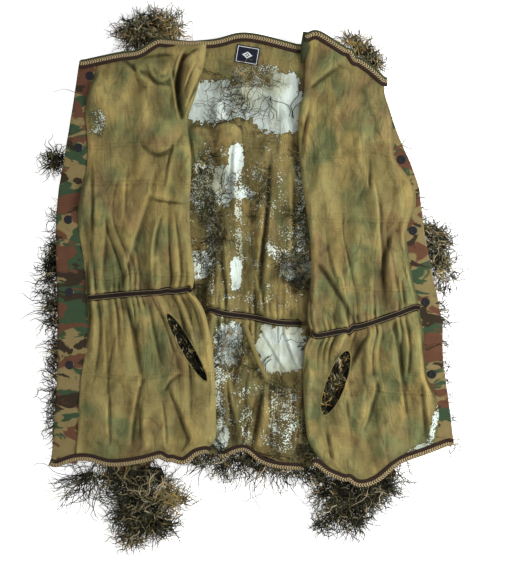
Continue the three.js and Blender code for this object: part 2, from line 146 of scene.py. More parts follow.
class Graph:
    """A material under construction."""

    def __init__(self, name: str, roughness: float, sheen: float = 0.0, metallic: float = 0.0) -> None:
        """Starts a material.

        Args:
            name: The material's name.
            roughness: The roughness all over.
            sheen: The weight of the cloth sheen.
            metallic: How metallic it is.
        """
        self.material = bpy.data.materials.new(name)
        self.material.use_nodes = True
        self.tree = self.material.node_tree
        self.shader = self.tree.nodes["Principled BSDF"]
        self.shader.inputs["Roughness"].default_value = roughness
        self.shader.inputs["Metallic"].default_value = metallic
        self.shader.inputs["Sheen Weight"].default_value = sheen
        self.shader.inputs["Sheen Roughness"].default_value = 0.5
        self.shader.inputs["Specular IOR Level"].default_value = 0.5 if metallic else 0.12

    def node(self, kind: str, settings: dict, inputs: dict, output: int | str = 0) -> Expr:
        """Adds a node.

        Args:
            kind: The node's type.
            settings: The node's own settings, which are set first.
            inputs: Values or links of its sockets, by name or number.
            output: The output wanted.

        Returns:
            That output.
        """
        made = self.tree.nodes.new(kind)
        for key, value in settings.items():
            setattr(made, key, value)
        for key, value in inputs.items():
            if isinstance(value, Expr):
                self.tree.links.new(value.socket, made.inputs[key])
            else:
                made.inputs[key].default_value = value
        return Expr(self, made.outputs[output])

    def place(self) -> Expr:
        """Where a point is on the object, in metres."""
        return self.node("ShaderNodeTexCoord", {}, {}, "Object")

    def attribute(self, name: str) -> Expr:
        """A number stored on the mesh."""
        return self.node("ShaderNodeAttribute", {"attribute_name": name}, {}, "Fac")

    def part(self, vector: Expr, axis: str) -> Expr:
        """One coordinate of a vector."""
        return self.node("ShaderNodeSeparateXYZ", {}, {"Vector": vector}, axis)

    def cloth_map(self) -> tuple[Expr, Expr]:
        """The piece's own coordinates: metres along it, and 0 to 1 across it."""
        places = self.node("ShaderNodeUVMap", {"uv_map": "cloth"}, {})
        return self.part(places, "X"), self.part(places, "Y")

    def stretched(self, scale: tuple[float, float, float], at: Expr | None = None) -> Expr:
        """Object coordinates, scaled on each axis.

        Args:
            scale: Repeats for each metre along X, Y and Z.
            at: Other coordinates to scale, such as the piece's own.

        Returns:
            The scaled coordinates.
        """
        return self.node("ShaderNodeMapping", {}, {"Vector": at or self.place(), "Scale": scale})

    def noise(self, scale: float, detail: float = 3.0, at: Expr | None = None, twist: float = 0.0) -> Expr:
        """Smooth noise from 0 to 1.

        Args:
            scale: Lumps for each metre.
            detail: Octaves.
            at: Coordinates, when they aren't the object's own.
            twist: Distortion.

        Returns:
            The noise.
        """
        inputs = {"Vector": at or self.place(), "Scale": scale, "Detail": detail, "Distortion": twist}
        return self.node("ShaderNodeTexNoise", {}, inputs)

    def mix(self, share: Expr | float, first: Expr | tuple, second: Expr | tuple, blend: str = "MIX") -> Expr:
        """Mixes two colours.

        Args:
            share: How much of the second.
            first: A colour.
            second: A colour.
            blend: The way they mix.

        Returns:
            The mixed colour.
        """
        settings = {"data_type": "RGBA", "blend_type": blend}
        return self.node("ShaderNodeMix", settings, {0: share, 6: first, 7: second}, 2)

    def shade(self, colour: Expr, light: Expr) -> Expr:
        """A colour made lighter or darker by a number that is 1 where it stays as it is."""
        grey = self.node("ShaderNodeCombineXYZ", {}, {0: light, 1: light, 2: light})
        return self.mix(1.0, colour, grey, "MULTIPLY")

    def finish(self, colour: Expr, relief: Expr | None = None, depth: float = 0.0) -> Finish:
        """Joins the colour and the relief to the shader.

        Args:
            colour: The base colour.
            relief: The height for bump, if there is any.
            depth: The bump's distance in metres.

        Returns:
            The material.
        """
        self.tree.links.new(colour.socket, self.shader.inputs["Base Color"])
        if relief is not None:
            settings = {"Strength": 1.0, "Distance": depth, "Height": relief}
            bump = self.node("ShaderNodeBump", {}, settings)
            self.tree.links.new(bump.socket, self.shader.inputs["Normal"])
        return self.material


TURN = 2 * math.pi
WEAVE = 900.0  # threads for each metre of the cloths
CHEVRON, RIB, ELASTIC_RIB, STITCH = 0.0042, 0.0024, 0.0016, 0.0035  # repeats along a tape, in metres
LINING_STITCH = 3.6  # millimetres


def weave(graph: Graph) -> Expr:
    """The relief of a plain weave, from -1 to 1, on object coordinates."""
    apart, across = graph.part(graph.place(), "X"), graph.part(graph.place(), "Y")
    return (apart * (WEAVE * TURN)).wave() * (across * (WEAVE * TURN)).wave()


@dataclass(frozen=True)
class Lining:
    """Thin, dyed lining cloth: olive with green and brown clouds, with painted shade in its folds, painted
    highlights on its crests, painted broad light and shade, and its gauze painted pale with the light that
    shows through it.
    """

    olive: tuple = srgb(134, 122, 76)
    green: tuple = srgb(98, 108, 70)
    brown: tuple = srgb(122, 94, 64)
    gold: tuple = srgb(154, 134, 80)
    # The crease colour is painted shade in the creases and in the wrinkles' valleys; it also darkens the
    # speckled gauze and colours the stitches.
    crease: tuple = srgb(52, 43, 20)
    # gauze and thin are painted light: pale colours that stand for light showing through the thin gauze.
    gauze: tuple = srgb(212, 224, 216)
    thin: tuple = srgb(184, 190, 166)

    def make(self) -> Finish:
        """Builds the material."""
        graph = Graph("lining_cloth", 0.86, sheen=0.03)
        clouds = graph.noise(11, 3, twist=0.5)
        patches = graph.noise(14, 3, graph.stretched((1, 0.8, 1)), 0.8)
        light = graph.noise(17, 3, graph.stretched((1.3, 0.7, 1)), 0.4)
        slubs = graph.noise(60, 2, graph.stretched((1, 9, 1)))
        threads = graph.noise(95, 2, graph.stretched((0.25, 8, 1)))
        colour = graph.mix(clouds.step(0.46, 0.62) * 0.8, self.olive, self.green)
        colour = graph.mix(patches.step(0.5, 0.66) * 0.55, colour, self.brown)
        colour = graph.mix(light.step(0.5, 0.66) * 0.6, colour, self.gold)
        wrinkles = (graph.noise(34, 2, graph.stretched((1, 0.3, 1)), 0.8) - 0.5).size()
        crumples = (graph.noise(62, 2, graph.stretched((1, 0.7, 1)), 1.2) - 0.5).size()
        # Painted broad light and shade: lighter where the cloth lies high, darker where it lies low; the
        # slubs and threads add random tone.
        broad_shading = graph.attribute("broad_shading")
        colour = graph.shade(colour, broad_shading * 0.7 + 0.36 + slubs * 0.22 + threads * 0.32)
        # Painted highlight: the crests of the folds turn gold.
        colour = graph.mix(graph.attribute("crest") * 0.35, colour, self.gold)
        # Painted shade in the valleys of the bump wrinkles.
        wrinkle_shade = (1 - wrinkles.step(0.0, 0.05)) * graph.noise(13, 2).step(0.45, 0.6)
        colour = graph.mix(wrinkle_shade * 0.3, colour, self.crease)
        mottled = graph.noise(48, 5, graph.stretched((1, 0.7, 1)), 0.6)
        colour = graph.shade(colour, mottled * 0.8 + 0.6)
        # Painted shade in the creases, broken up by noise.
        broken = graph.noise(40, 3).step(0.3, 0.6) * 0.4 + 0.34
        depth = graph.attribute("hollow").step(0.05, 1.0) * broken
        colour = graph.mix(depth, colour, self.crease)
        window = graph.attribute("window")
        speckled = window.step(0.04, 0.36) - window.step(0.55, 0.9)
        colour = graph.mix(speckled * 0.5, colour, self.crease)
        # Painted light through the thin gauze: where the ragged mask is high the cloth turns pale, with
        # painted shade along its pleats and the painted broad light and shade.
        ragged = window + (graph.noise(400, 1) - 0.5) * 1.5 + (graph.noise(50, 3) - 0.5) * 1.2
        ragged = ragged - (1 - window.step(0.0, 0.1)) * 0.5
        pale = graph.mix(graph.noise(16, 3).step(0.4, 0.7), self.gauze, self.thin)
        pleats = graph.noise(75, 2, graph.stretched((1, 0.1, 1))) - 0.5
        pale = graph.shade(pale, broad_shading * 0.5 + 0.7 + pleats * 0.5)
        colour = graph.mix(ragged.step(0.5, 0.56), colour, pale)
        stitches = (graph.attribute("stitch") * (TURN / LINING_STITCH)).wave().step(-0.7, 0.4)
        colour = graph.mix(graph.attribute("seam") * stitches * 0.45, colour, self.crease)
        relief = weave(graph) * 0.3 + graph.noise(520, 2) * 0.5 + slubs * 0.8
        relief = relief + wrinkles * 15 + crumples * 9 + mottled * 2
        return graph.finish(colour, relief, 0.0005)


@dataclass(frozen=True)
class Camouflage:
    """Printed woodland camouflage on a plain weave."""

    sand: tuple = srgb(142, 126, 84)
    green: tuple = srgb(62, 82, 58)
    brown: tuple = srgb(106, 72, 54)
    dark: tuple = srgb(60, 50, 38)
    stitches: bool = False

    def make(self) -> Finish:
        """Builds the material."""
        graph = Graph("stitched_camouflage" if self.stitches else "camouflage_cloth", 0.88)
        wide = graph.stretched((1, 1.7, 1))
        shifted = graph.node("ShaderNodeMapping", {}, {"Vector": wide, "Location": (3.1, 1.7, 0.4)})
        moved = graph.node("ShaderNodeMapping", {}, {"Vector": wide, "Location": (7.7, 5.2, 0.9)})
        colour = graph.mix(graph.noise(16, 3, wide, 0.7).step(0.5, 0.53), self.sand, self.green)
        colour = graph.mix(graph.noise(15, 3, shifted, 0.8).step(0.52, 0.55), colour, self.brown)
        colour = graph.mix(graph.noise(19, 3, moved, 0.9).step(0.59, 0.61), colour, self.dark)
        worn = graph.noise(70, 3)
        colour = graph.shade(colour, worn * 0.35 + 0.8)
        relief = weave(graph) * 0.5 + worn * 0.4
        if self.stitches:
            seam = self.seams(graph)
            colour = graph.mix(seam * 0.5, colour, srgb(70, 68, 40))
            relief = relief - seam * 1.2
        return graph.finish(colour, relief, 0.0005)

    @staticmethod
    def seams(graph: Graph) -> Expr:
        """Rows of stitches along both edges of the band, as dashes that are 1 on a stitch."""
        along, across = graph.cloth_map()
        from_edge = 0.5 - (across - 0.5).size()
        row = 1 - ((from_edge - 0.09) * 60).size().step(0.2, 1.0)
        dash = (along * (TURN / STITCH)).wave().step(-0.5, 0.1)
        return row * dash


class TapeKind(Enum):
    """The two kinds of woven tape."""

    STRIPED = "striped_tape"
    ELASTIC = "waist_elastic"


@dataclass(frozen=True)
class Tape:
    """A woven or knitted tape whose stripes run along it."""

    kind: TapeKind

    def make(self) -> Finish:
        """Builds the material."""
        graph = Graph(self.kind.value, 0.85)
        weaver = self.striped if self.kind is TapeKind.STRIPED else self.elastic
        return weaver(graph, *graph.cloth_map())

    @staticmethod
    def striped(graph: Graph, along: Expr, across: Expr) -> Finish:
        """A pale stripe of knitted chevrons beside a dark brown stripe.

        Args:
            graph: The material.
            along: Metres along the tape.
            across: 0 to 1 across it.

        Returns:
            The material.
        """
        arms = (across - 0.27).size() * 14
        chevrons = (along * (TURN / CHEVRON) + arms).wave()
        pale = graph.mix(chevrons.step(-0.3, 0.5), srgb(84, 70, 48), srgb(190, 170, 128))
        ribs = (along * (TURN / RIB) + across * 40).wave()
        brown = graph.mix(ribs.step(-0.4, 0.8) * 0.5, srgb(34, 24, 20), srgb(92, 72, 60))
        colour = graph.mix(across.step(0.5, 0.56), pale, brown)
        edge = (across - 0.53).size().step(0.0, 0.05)
        colour = graph.shade(colour, edge * 0.5 + 0.5)
        worn = graph.noise(90, 3)
        colour = graph.shade(colour, worn * 0.4 + 0.75)
        return graph.finish(colour, chevrons * 0.6 + ribs * 0.4 + edge, 0.0006)

    @staticmethod
    def elastic(graph: Graph, along: Expr, across: Expr) -> Finish:
        """A dark ribbed band with a thin tan line near each edge.

        Args:
            graph: The material.
            along: Metres along the tape.
            across: 0 to 1 across it.

        Returns:
            The material.
        """
        from_edge = 0.5 - (across - 0.5).size()
        line = 1 - ((from_edge - 0.2) * 18).size().step(0.2, 1.0)
        ribs = (along * (TURN / ELASTIC_RIB)).wave()
        colour = graph.mix(line * 0.85, srgb(24, 20, 18), srgb(150, 132, 98))
        middle = from_edge.step(0.24, 0.34)
        colour = graph.mix(middle * 0.5, colour, srgb(46, 38, 34))
        colour = graph.shade(colour, ribs * 0.16 + graph.noise(120, 2) * 0.5 + 0.75)
        return graph.finish(colour, ribs * 0.7 + line * 0.5, 0.0006)


class Dye(Enum):
    """Colours of the loose threads, each with its dark and its light tone."""

    DARK = ((13, 14, 10), (78, 76, 56))
    OLIVE = ((84, 82, 56), (156, 150, 112))
    GOLD = ((120, 92, 44), (192, 160, 96))
    PALE = ((160, 140, 104), (226, 208, 172))


@dataclass(frozen=True)
class Thread:
    """Crinkled jute thread."""

    dye: Dye

    def make(self) -> Finish:
        """Builds the material."""
        graph = Graph(f"thread_{self.dye.name.lower()}", 0.7)
        dark, light = (srgb(*tone) for tone in self.dye.value)
        tone = graph.noise(70, 3).step(0.3, 0.75)
        fibres = graph.noise(900, 2)
        colour = graph.shade(graph.mix(tone, dark, light), fibres * 0.6 + 0.7)
        return graph.finish(colour, fibres, 0.0004)


@dataclass(frozen=True)
class Plain:
    """A fine-grained surface of one colour, such as enamel, piping or a woven label."""

    name: str
    colour: tuple
    roughness: float
    metallic: float = 0.0
    grain: float = 300.0
    depth: float = 0.0002
    spread: float = 0.5

    def make(self) -> Finish:
        """Builds the material."""
        graph = Graph(self.name, self.roughness, metallic=self.metallic)
        grain = graph.noise(self.grain, 3)
        even = graph.mix(0.0, self.colour, self.colour)
        colour = graph.shade(even, grain * self.spread + (1 - self.spread / 2))
        return graph.finish(colour, grain, self.depth)


def plain(name: str, colour: tuple, roughness: float, **details: float) -> Finish:
    """A dataclass field that makes a plain material when it is filled."""
    return field(default_factory=Plain(name, colour, roughness, **details).make)


@dataclass
class Wardrobe:
    """Every finish, made once."""

    lining: Finish = field(default_factory=Lining().make)
    camouflage: Finish = field(default_factory=Camouflage().make)
    placket: Finish = field(default_factory=Camouflage(stitches=True).make)
    striped: Finish = field(default_factory=Tape(TapeKind.STRIPED).make)
    elastic: Finish = field(default_factory=Tape(TapeKind.ELASTIC).make)
    threads: list = field(default_factory=lambda: [Thread(dye).make() for dye in Dye])
    snap: Finish = plain("snap_enamel", srgb(34, 34, 38), 0.35, metallic=0.5, grain=700)
    piping: Finish = plain("slit_piping", srgb(124, 112, 70), 0.9, depth=0.0006)
    label: Finish = plain("label_cloth", srgb(26, 30, 42), 0.7, grain=500)
    facing: Finish = plain("collar_facing", srgb(58, 64, 42), 0.9, grain=60, spread=0.8)
    mark: Finish = plain("label_mark", srgb(210, 214, 214), 0.7, grain=500)


# ---- where things are ----------------------------------------------------------------------------


class Slices:
    """Where the edges of a CAD node lie, at stations along X or along Y, in millimetres."""

    def __init__(self, node: Piece, along: int, stations: int = 60) -> None:
        """Cuts the node's mesh.

        Args:
            node: The CAD node's object.
            along: 0 for stations along X, 1 for stations along Y.
            stations: How many.
        """
        mesh = node.data
        places = np.empty(len(mesh.vertices) * 3)
        mesh.vertices.foreach_get("co", places)
        places = places.reshape(-1, 3) / MM
        ends = np.empty(len(mesh.edges) * 2, int)
        mesh.edges.foreach_get("vertices", ends)
        first, second = places[ends[0::2]], places[ends[1::2]]
        self.top = places[:, 2].max()
        lowest, highest = places[:, along].min(), places[:, along].max()
        margin = (highest - lowest) * 0.01
        self.at = np.linspace(lowest + margin, highest - margin, stations)
        self.low, self.high = np.empty(stations), np.empty(stations)
        for number, station in enumerate(self.at):
            before, after = first[:, along] - station, second[:, along] - station
            cut = before * after < 0
            share = before[cut] / (before[cut] - after[cut])
            side = first[cut, 1 - along] + share * (second[cut, 1 - along] - first[cut, 1 - along])
            self.low[number], self.high[number] = side.min(), side.max()

    def lower(self, station: np.ndarray) -> np.ndarray:
        """The lower edge at stations."""
        return np.interp(station, self.at, self.low)

    def upper(self, station: np.ndarray) -> np.ndarray:
        """The upper edge at stations."""
        return np.interp(station, self.at, self.high)

    def middle(self) -> np.ndarray:
        """Points of the centre line, as rows of station, side and top."""
        return np.stack([self.at, (self.low + self.high) / 2, np.full_like(self.at, self.top)], 1)


def smoothed(values: np.ndarray, size: int, **padding: str) -> np.ndarray:
    """Values averaged over an odd number of neighbours, with soft weights."""
    kernel = np.hanning(size) / np.hanning(size).sum()
    padded = np.pad(values, size // 2, **(padding or {"mode": "edge"}))
    return np.convolve(padded, kernel, mode="valid")


def through(points: Sequence[Sequence[float]]) -> Curve:
    """A function through points given as (station, value), smoothed between them."""
    known = np.array(sorted(points), float)
    fine = np.linspace(known[0, 0], known[-1, 0], 160)
    smooth = smoothed(np.interp(fine, known[:, 0], known[:, 1]), 13)
    return lambda station: np.interp(station, fine, smooth)


def headings(line: np.ndarray) -> np.ndarray:
    """Unit vectors along a line, seen from above, one for each of its points."""
    way = np.gradient(line[:, :2], axis=0)
    return way / np.hypot(way[:, 0], way[:, 1])[:, None]


def distances(line: np.ndarray) -> np.ndarray:
    """Distance from the start of a line to each of its points, seen from above."""
    return np.concatenate([[0], np.cumsum(np.hypot(*np.diff(line[:, :2], axis=0).T))])


def resampled(line: np.ndarray, count: int) -> np.ndarray:
    """A line with evenly spaced points."""
    run = distances(line)
    even = np.linspace(0, run[-1], count)
    return np.stack([np.interp(even, run, line[:, axis]) for axis in range(line.shape[1])], 1)


def beside(line: np.ndarray, distance: float) -> np.ndarray:
    """A line that runs to the left of another."""
    way = headings(line)
    return line + distance * np.column_stack([-way[:, 1], way[:, 0], way[:, 0] * 0])


def middle_of(name: str) -> np.ndarray:
    """The middle of a CAD node's box, in millimetres."""
    low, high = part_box(name)
    return np.array([(a + b) / 2 / MM for a, b in zip(low, high)])


class Ripple:
    """Smooth, seeded noise made of plane waves, for arrays of places in millimetres."""

    def __init__(self, seed: int, length: float, waves: int = 14) -> None:
        """Chooses the waves.

        Args:
            seed: The random seed.
            length: The typical distance between crests.
            waves: How many waves are summed.
        """
        random = np.random.default_rng(seed)
        heading = random.uniform(0, 2 * math.pi, waves)
        number = 2 * math.pi / (length * random.uniform(0.7, 1.6, waves))
        self.x, self.y = number * np.cos(heading), number * np.sin(heading)
        self.phase = random.uniform(0, 2 * math.pi, waves)
        self.norm = math.sqrt(2 / waves)

    def __call__(self, x: np.ndarray, y: np.ndarray) -> np.ndarray:
        """The noise at places, mostly from -1 to 1."""
        angles = x[..., None] * self.x + y[..., None] * self.y + self.phase
        return np.sin(angles).sum(-1) * self.norm


def soft(value: np.ndarray, low: float, high: float) -> np.ndarray:
    """Rises smoothly from 0 to 1 between two values."""
    share = np.clip((value - low) / (high - low), 0, 1)
    return share * share * (3 - 2 * share)


# ---- cloth ---------------------------------------------------------------------------------------


@dataclass(frozen=True)
class Fold:
    """A long soft fold in a cloth, steep on one side.

    Attributes:
        points: Three points of its line, in millimetres; it bends at the middle one.
        height: How high it stands.
        width: How far its gentle side reaches; a negative width turns it round.
    """

    points: tuple
    height: float
    width: float

    def relief(self, x: np.ndarray, y: np.ndarray) -> np.ndarray:
        """Height that the fold adds at places."""
        start, bend, end = (np.array(point, float) for point in self.points)
        best = np.full(x.shape, 1e9)
        side, share = np.zeros(x.shape), np.zeros(x.shape)
        steps = np.linspace(0, 1, 25)
        for t, u in zip(steps[:-1], steps[1:]):
            a = (1 - t) ** 2 * start + 2 * t * (1 - t) * bend + t * t * end
            b = (1 - u) ** 2 * start + 2 * u * (1 - u) * bend + u * u * end
            way = b - a
            length = math.hypot(*way)
            forward = np.clip(((x - a[0]) * way[0] + (y - a[1]) * way[1]) / length**2, 0, 1)
            px, py = x - a[0] - forward * way[0], y - a[1] - forward * way[1]
            distance = np.hypot(px, py)
            nearer = distance < best
            cross = (way[0] * py - way[1] * px) / length
            best = np.where(nearer, distance, best)
            side = np.where(nearer, np.sign(cross), side)
            share = np.where(nearer, t + (u - t) * forward, share)
        along = np.sin(np.clip(share, 0.001, 0.999) * math.pi) ** 0.6
        gentle = np.exp(-((best / abs(self.width)) ** 1.6))
        edge = 0.16 * abs(self.width) + 1.0
        steep = np.exp(-((best / edge) ** 2))
        valley = 0.3 * np.exp(-(((best - 2 * edge) / edge) ** 2))
        uphill = side * np.sign(self.width) > 0
        return self.height * along * np.where(uphill, gentle, steep - valley)


@dataclass(frozen=True)
class Dome:
    """A soft bulge of a cloth, in millimetres.

    Attributes:
        centre: Its middle.
        radii: Its half width and half height.
        height: How high it stands.
        edge: How steep its edge is.
    """

    centre: tuple
    radii: tuple
    height: float
    edge: float = 1.5

    def relief(self, x: np.ndarray, y: np.ndarray) -> np.ndarray:
        """Height that the bulge adds at places."""
        far = ((x - self.centre[0]) / self.radii[0]) ** 2 + ((y - self.centre[1]) / self.radii[1]) ** 2
        return self.height * np.exp(-(far**self.edge))


@dataclass(frozen=True)
class Gather:
    """Gathers on both sides of the waist elastic.

    Attributes:
        waist: Height of the elastic's line at a place across, as a function.
        pitch: Distance between the folds at the elastic.
        height: Height of the folds.
        reach: How far they run above and below the elastic.
        seed: The random seed.
    """

    LAYERS: ClassVar[tuple] = ((1, 0.75, 0.3), (0.52, 0.8, 0.75), (0.27, 1.0, 1.6))  # pitch, height, reach

    waist: Curve
    pitch: float
    height: float
    reach: tuple
    seed: int

    def relief(self, across: np.ndarray, x: np.ndarray, y: np.ndarray) -> np.ndarray:
        """Height that the gathers add.

        Args:
            across: Distance across the cloth as it was cut, in millimetres.
            x: Places along X.
            y: Places along Y.

        Returns:
            The height.
        """
        from_waist = y - self.waist(x)
        far = np.where(from_waist > 0, from_waist / self.reach[0], -from_waist / self.reach[1])
        wander = Ripple(self.seed, 60)(across, y * 0.25)
        height = np.zeros(x.shape)
        for number, (times, share, fade) in enumerate(self.LAYERS):
            phase = across * times / self.pitch * math.pi + wander * (0.5 + 0.25 * number) + number * 2.1
            crest = np.abs(np.cos(phase)) ** 0.8
            strength = np.clip(0.6 + 0.8 * Ripple(self.seed + 5 + number, 40)(across, y * 0.12), 0, 1.6)
            height += share * strength * crest * np.exp(-((far / fade) ** 1.3))
        pinched = 1 - 0.85 * np.exp(-((from_waist / 6.5) ** 6))
        return self.height * height * pinched


@dataclass(frozen=True)
class Window:
    """A place where the cloth is thin gauze.

    Attributes:
        centre: Its middle, in millimetres.
        radii: Its half width and half height.
        turn: How it is turned, in radians.
        clear: 1 where it is clean gauze, less where it is speckled.
    """

    centre: tuple
    radii: tuple
    turn: float = 0.0
    clear: float = 1.0

    def mask(self, x: np.ndarray, y: np.ndarray) -> np.ndarray:
        """1 inside the window and 0 outside it, with a wide soft edge."""
        cos, sin = math.cos(self.turn), math.sin(self.turn)
        dx, dy = x - self.centre[0], y - self.centre[1]
        ragged = 1 + 0.05 * Ripple(7, 30)(x, y) + 0.05 * Ripple(8, 12)(x, y)
        across = (dx * cos + dy * sin) / self.radii[0]
        along = (dy * cos - dx * sin) / self.radii[1]
        distance = (np.abs(across) ** 3 + np.abs(along) ** 3) ** (1 / 3) * ragged
        return self.clear * (1 - soft(distance, 0.8, 1.1))


@dataclass
class Cloth:
    """A gathered sheet of lining, as a grid from one side edge to the other and from neck to hem.

    Attributes:
        name: The piece's name.
        columns: Grid squares across.
        rows: Grid squares from neck to hem.
        lay: Places the grid: takes shares across and down, gives x, y, z and the cut distance across.
        folds: Long folds.
        gather: The gathers at the waist.
        tucks: Heights of the sewn lines across the cloth.
        windows: Its gauze places.
        slit: The hand slit, as (centre, radii, turn), or None.
        thickness: Of the two layers together.
        edge_fade: Shares across where the relief is full.
        neck_fade: Shares down between which the relief grows from flat to full.
    """

    CEILING: ClassVar[float] = 54.0  # folds are flattened softly above this height
    ROOM: ClassVar[float] = 5.0  # and by how much they may pass it

    name: str
    columns: int
    rows: int
    lay: Callable[[np.ndarray, np.ndarray], tuple]
    folds: tuple = ()
    gather: Gather | None = None
    tucks: tuple = ()
    windows: tuple = ()
    slit: tuple | None = None
    thickness: float = 1.4
    edge_fade: tuple = (0.04, 0.96)
    neck_fade: tuple = (0.0, 0.03)

    def relief(self, u: np.ndarray, v: np.ndarray, x: np.ndarray, y: np.ndarray, cut: np.ndarray) -> tuple:
        """Heights of the soft swells and of the folds at each grid point.

        Args:
            u: Shares across.
            v: Shares down.
            x: Places along X.
            y: Places along Y.
            cut: Distance across the cut cloth.

        Returns:
            The two heights in millimetres.
        """
        sharp, deep = np.zeros(x.shape), np.zeros(x.shape)
        for fold in self.folds:
            if fold.height > 0:
                sharp += fold.relief(x, y)
            else:
                deep += fold.relief(x, y)
        if self.gather:
            sharp += self.gather.relief(cut, x, y)
        for number in range(len(self.tucks)):
            line = self.tuck_line(number, x)
            sharp += 0.5 * np.exp(-(((y - line - 2.6) / 2.4) ** 2))
            sharp -= 0.45 * np.exp(-(((y - line) / 1.6) ** 2))
            pucker = np.abs(np.cos(cut / 7 + 3 * Ripple(60 + number, 50)(x, y)))
            sharp += 0.5 * pucker * np.exp(-(((y - line) / 11) ** 2))
        ends = soft(v, *self.neck_fade) * (1 - soft(v, 0.965, 1))
        sides = soft(u, 0, self.edge_fade[0]) * (1 - soft(u, self.edge_fade[1], 1))
        smooth = 2.4 * Ripple(31, 80)(x, y * 0.6) + 1.3 * Ripple(32, 36)(x, y * 0.35)
        smooth += 0.5 * Ripple(34, 22)(x, y)
        fade = (0.2 + 0.8 * ends) * sides
        total = (smooth + sharp) * fade
        floor = np.where(total < -1.6, -1.6 - 1.3 * np.tanh((-1.6 - total) / 1.3), total)
        sharp = (sharp + deep) * fade
        return floor + deep * fade - sharp, sharp

    def tuck_line(self, number: int, x: np.ndarray) -> np.ndarray:
        """Height of a sewn line at places along X."""
        return self.tucks[number] + 3.5 * Ripple(50 + number, 110)(x, x * 0)

    def build(self, outside: Finish, inside: Finish) -> Piece:
        """Makes the sheet.

        Args:
            outside: Finish of the side that lies down.
            inside: Finish of the side that shows.

        Returns:
            The piece.
        """
        mesh, places = grid(self.columns, self.rows)
        u, v = places[:, 0] + 0.5, 0.5 - places[:, 1]
        x, y, z, cut = self.lay(u, v)
        swell, sharp = self.relief(u, v, x, y, cut)
        creased = mesh.verts.layers.float.new("sharp")
        stitched = mesh.verts.layers.float.new("stitch")
        z = z + swell + sharp
        over = (z - self.CEILING) / self.ROOM
        z = np.where(over > 0, self.CEILING + self.ROOM * np.tanh(over), z)
        set_places(mesh, x, y, z)
        for vertex, fold, far in zip(mesh.verts, sharp, cut):
            vertex[creased] = fold
            vertex[stitched] = far
        if self.slit:
            self.open_slit(mesh)
        face_up(mesh)
        for face in mesh.faces:
            face.smooth = True
        piece = finished(self.name, mesh, (inside, outside))
        self.paint(piece)
        shell = thicken(piece, self.thickness)
        shell.material_offset = 1
        shell.material_offset_rim = 0
        return piece

    def open_slit(self, mesh: bmesh.types.BMesh) -> None:
        """Cuts the hand slit out of the sheet, and draws its edge onto the slit's oval."""
        (cx, cy), (rx, ry), turn = self.slit
        cos, sin = math.cos(turn), math.sin(turn)

        def oval(point: Sequence[float]) -> tuple[float, float]:
            """A point in the oval's own coordinates, at 1 on its edge."""
            dx, dy = point[0] / MM - cx, point[1] / MM - cy
            return (dx * cos + dy * sin) / rx, (dy * cos - dx * sin) / ry

        inner = [face for face in mesh.faces if math.hypot(*oval(face.calc_center_median())) < 1]
        bmesh.ops.delete(mesh, geom=inner, context="FACES")
        for vertex in mesh.verts:
            a, b = oval(vertex.co)
            distance = math.hypot(a, b)
            if vertex.is_boundary and distance < 1.6:
                a, b = a / distance * rx, b / distance * ry
                vertex.co.x = (cx + a * cos - b * sin) * MM
                vertex.co.y = (cy + a * sin + b * cos) * MM

    def paint(self, piece: Piece) -> None:
        """Stores how hollow or high each point lies beside its neighbours, for the painted shade in the
        creases, the painted highlight on the crests and the painted broad light and shade, and where the
        gauze is.
        """
        mesh = piece.data
        count = len(mesh.vertices)
        places = np.empty(count * 3)
        mesh.vertices.foreach_get("co", places)
        places = places.reshape(-1, 3) / MM
        ends = np.empty(len(mesh.edges) * 2, int)
        mesh.edges.foreach_get("vertices", ends)
        first, second = ends[0::2], ends[1::2]
        near = np.bincount(ends, minlength=count)
        sharp = np.empty(count)
        mesh.attributes["sharp"].data.foreach_get("value", sharp)

        def blurred(values: np.ndarray, times: int) -> np.ndarray:
            """Values averaged with their neighbours' a number of times."""
            for _ in range(times):
                total = np.bincount(first, values[second], count)
                total = total + np.bincount(second, values[first], count)
                values = total / np.maximum(near, 1)
            return values

        bend = blurred(sharp, 9) - blurred(sharp, 1)
        rise = blurred(places[:, 2], 3) - blurred(places[:, 2], 140)
        windows, seams = np.zeros(count), np.zeros(count)
        for window in self.windows:
            windows = np.maximum(windows, window.mask(places[:, 0], places[:, 1]))
        for number in range(len(self.tucks)):
            off = places[:, 1] - self.tuck_line(number, places[:, 0])
            seams += np.exp(-((off / 1.3) ** 2)) + np.exp(-(((off - 5.5) / 1.3) ** 2))
        # hollow is painted crease shade, crest is a painted highlight on the ridges, and the broad layer is
        # painted broad light and shade.
        layers = {
            "hollow": np.clip((bend - 0.12) / 0.8, 0, 1),
            "crest": np.clip((-bend - 0.1) / 1.0, 0, 1),
            "broad_shading": np.clip(0.5 + rise / 9, 0, 1),
            "window": windows,
            "seam": np.clip(seams, 0, 1),
        }
        for name, values in layers.items():
            layer = mesh.attributes.new(name, "FLOAT", "POINT")
            layer.data.foreach_set("value", values.astype(np.float32))


def finished(name: str, mesh: bmesh.types.BMesh, finishes: Sequence[Finish]) -> Piece:
    """Turns a bmesh into a piece in the scene.

    Args:
        name: The piece's name.
        mesh: Its shape, in metres, in place.
        finishes: Its materials.

    Returns:
        The piece.
    """
    data = bpy.data.meshes.new(name)
    mesh.to_mesh(data)
    mesh.free()
    for material in finishes:
        data.materials.append(material)
    piece = bpy.data.objects.new(name, data)
    bpy.context.scene.collection.objects.link(piece)
    return piece


def grid(columns: int, rows: int) -> tuple[bmesh.types.BMesh, np.ndarray]:
    """A flat grid one unit wide and tall, and the places of its points."""
    mesh = bmesh.new()
    bmesh.ops.create_grid(mesh, x_segments=columns, y_segments=rows, size=0.5)
    mesh.verts.ensure_lookup_table()
    return mesh, np.array([vertex.co for vertex in mesh.verts])


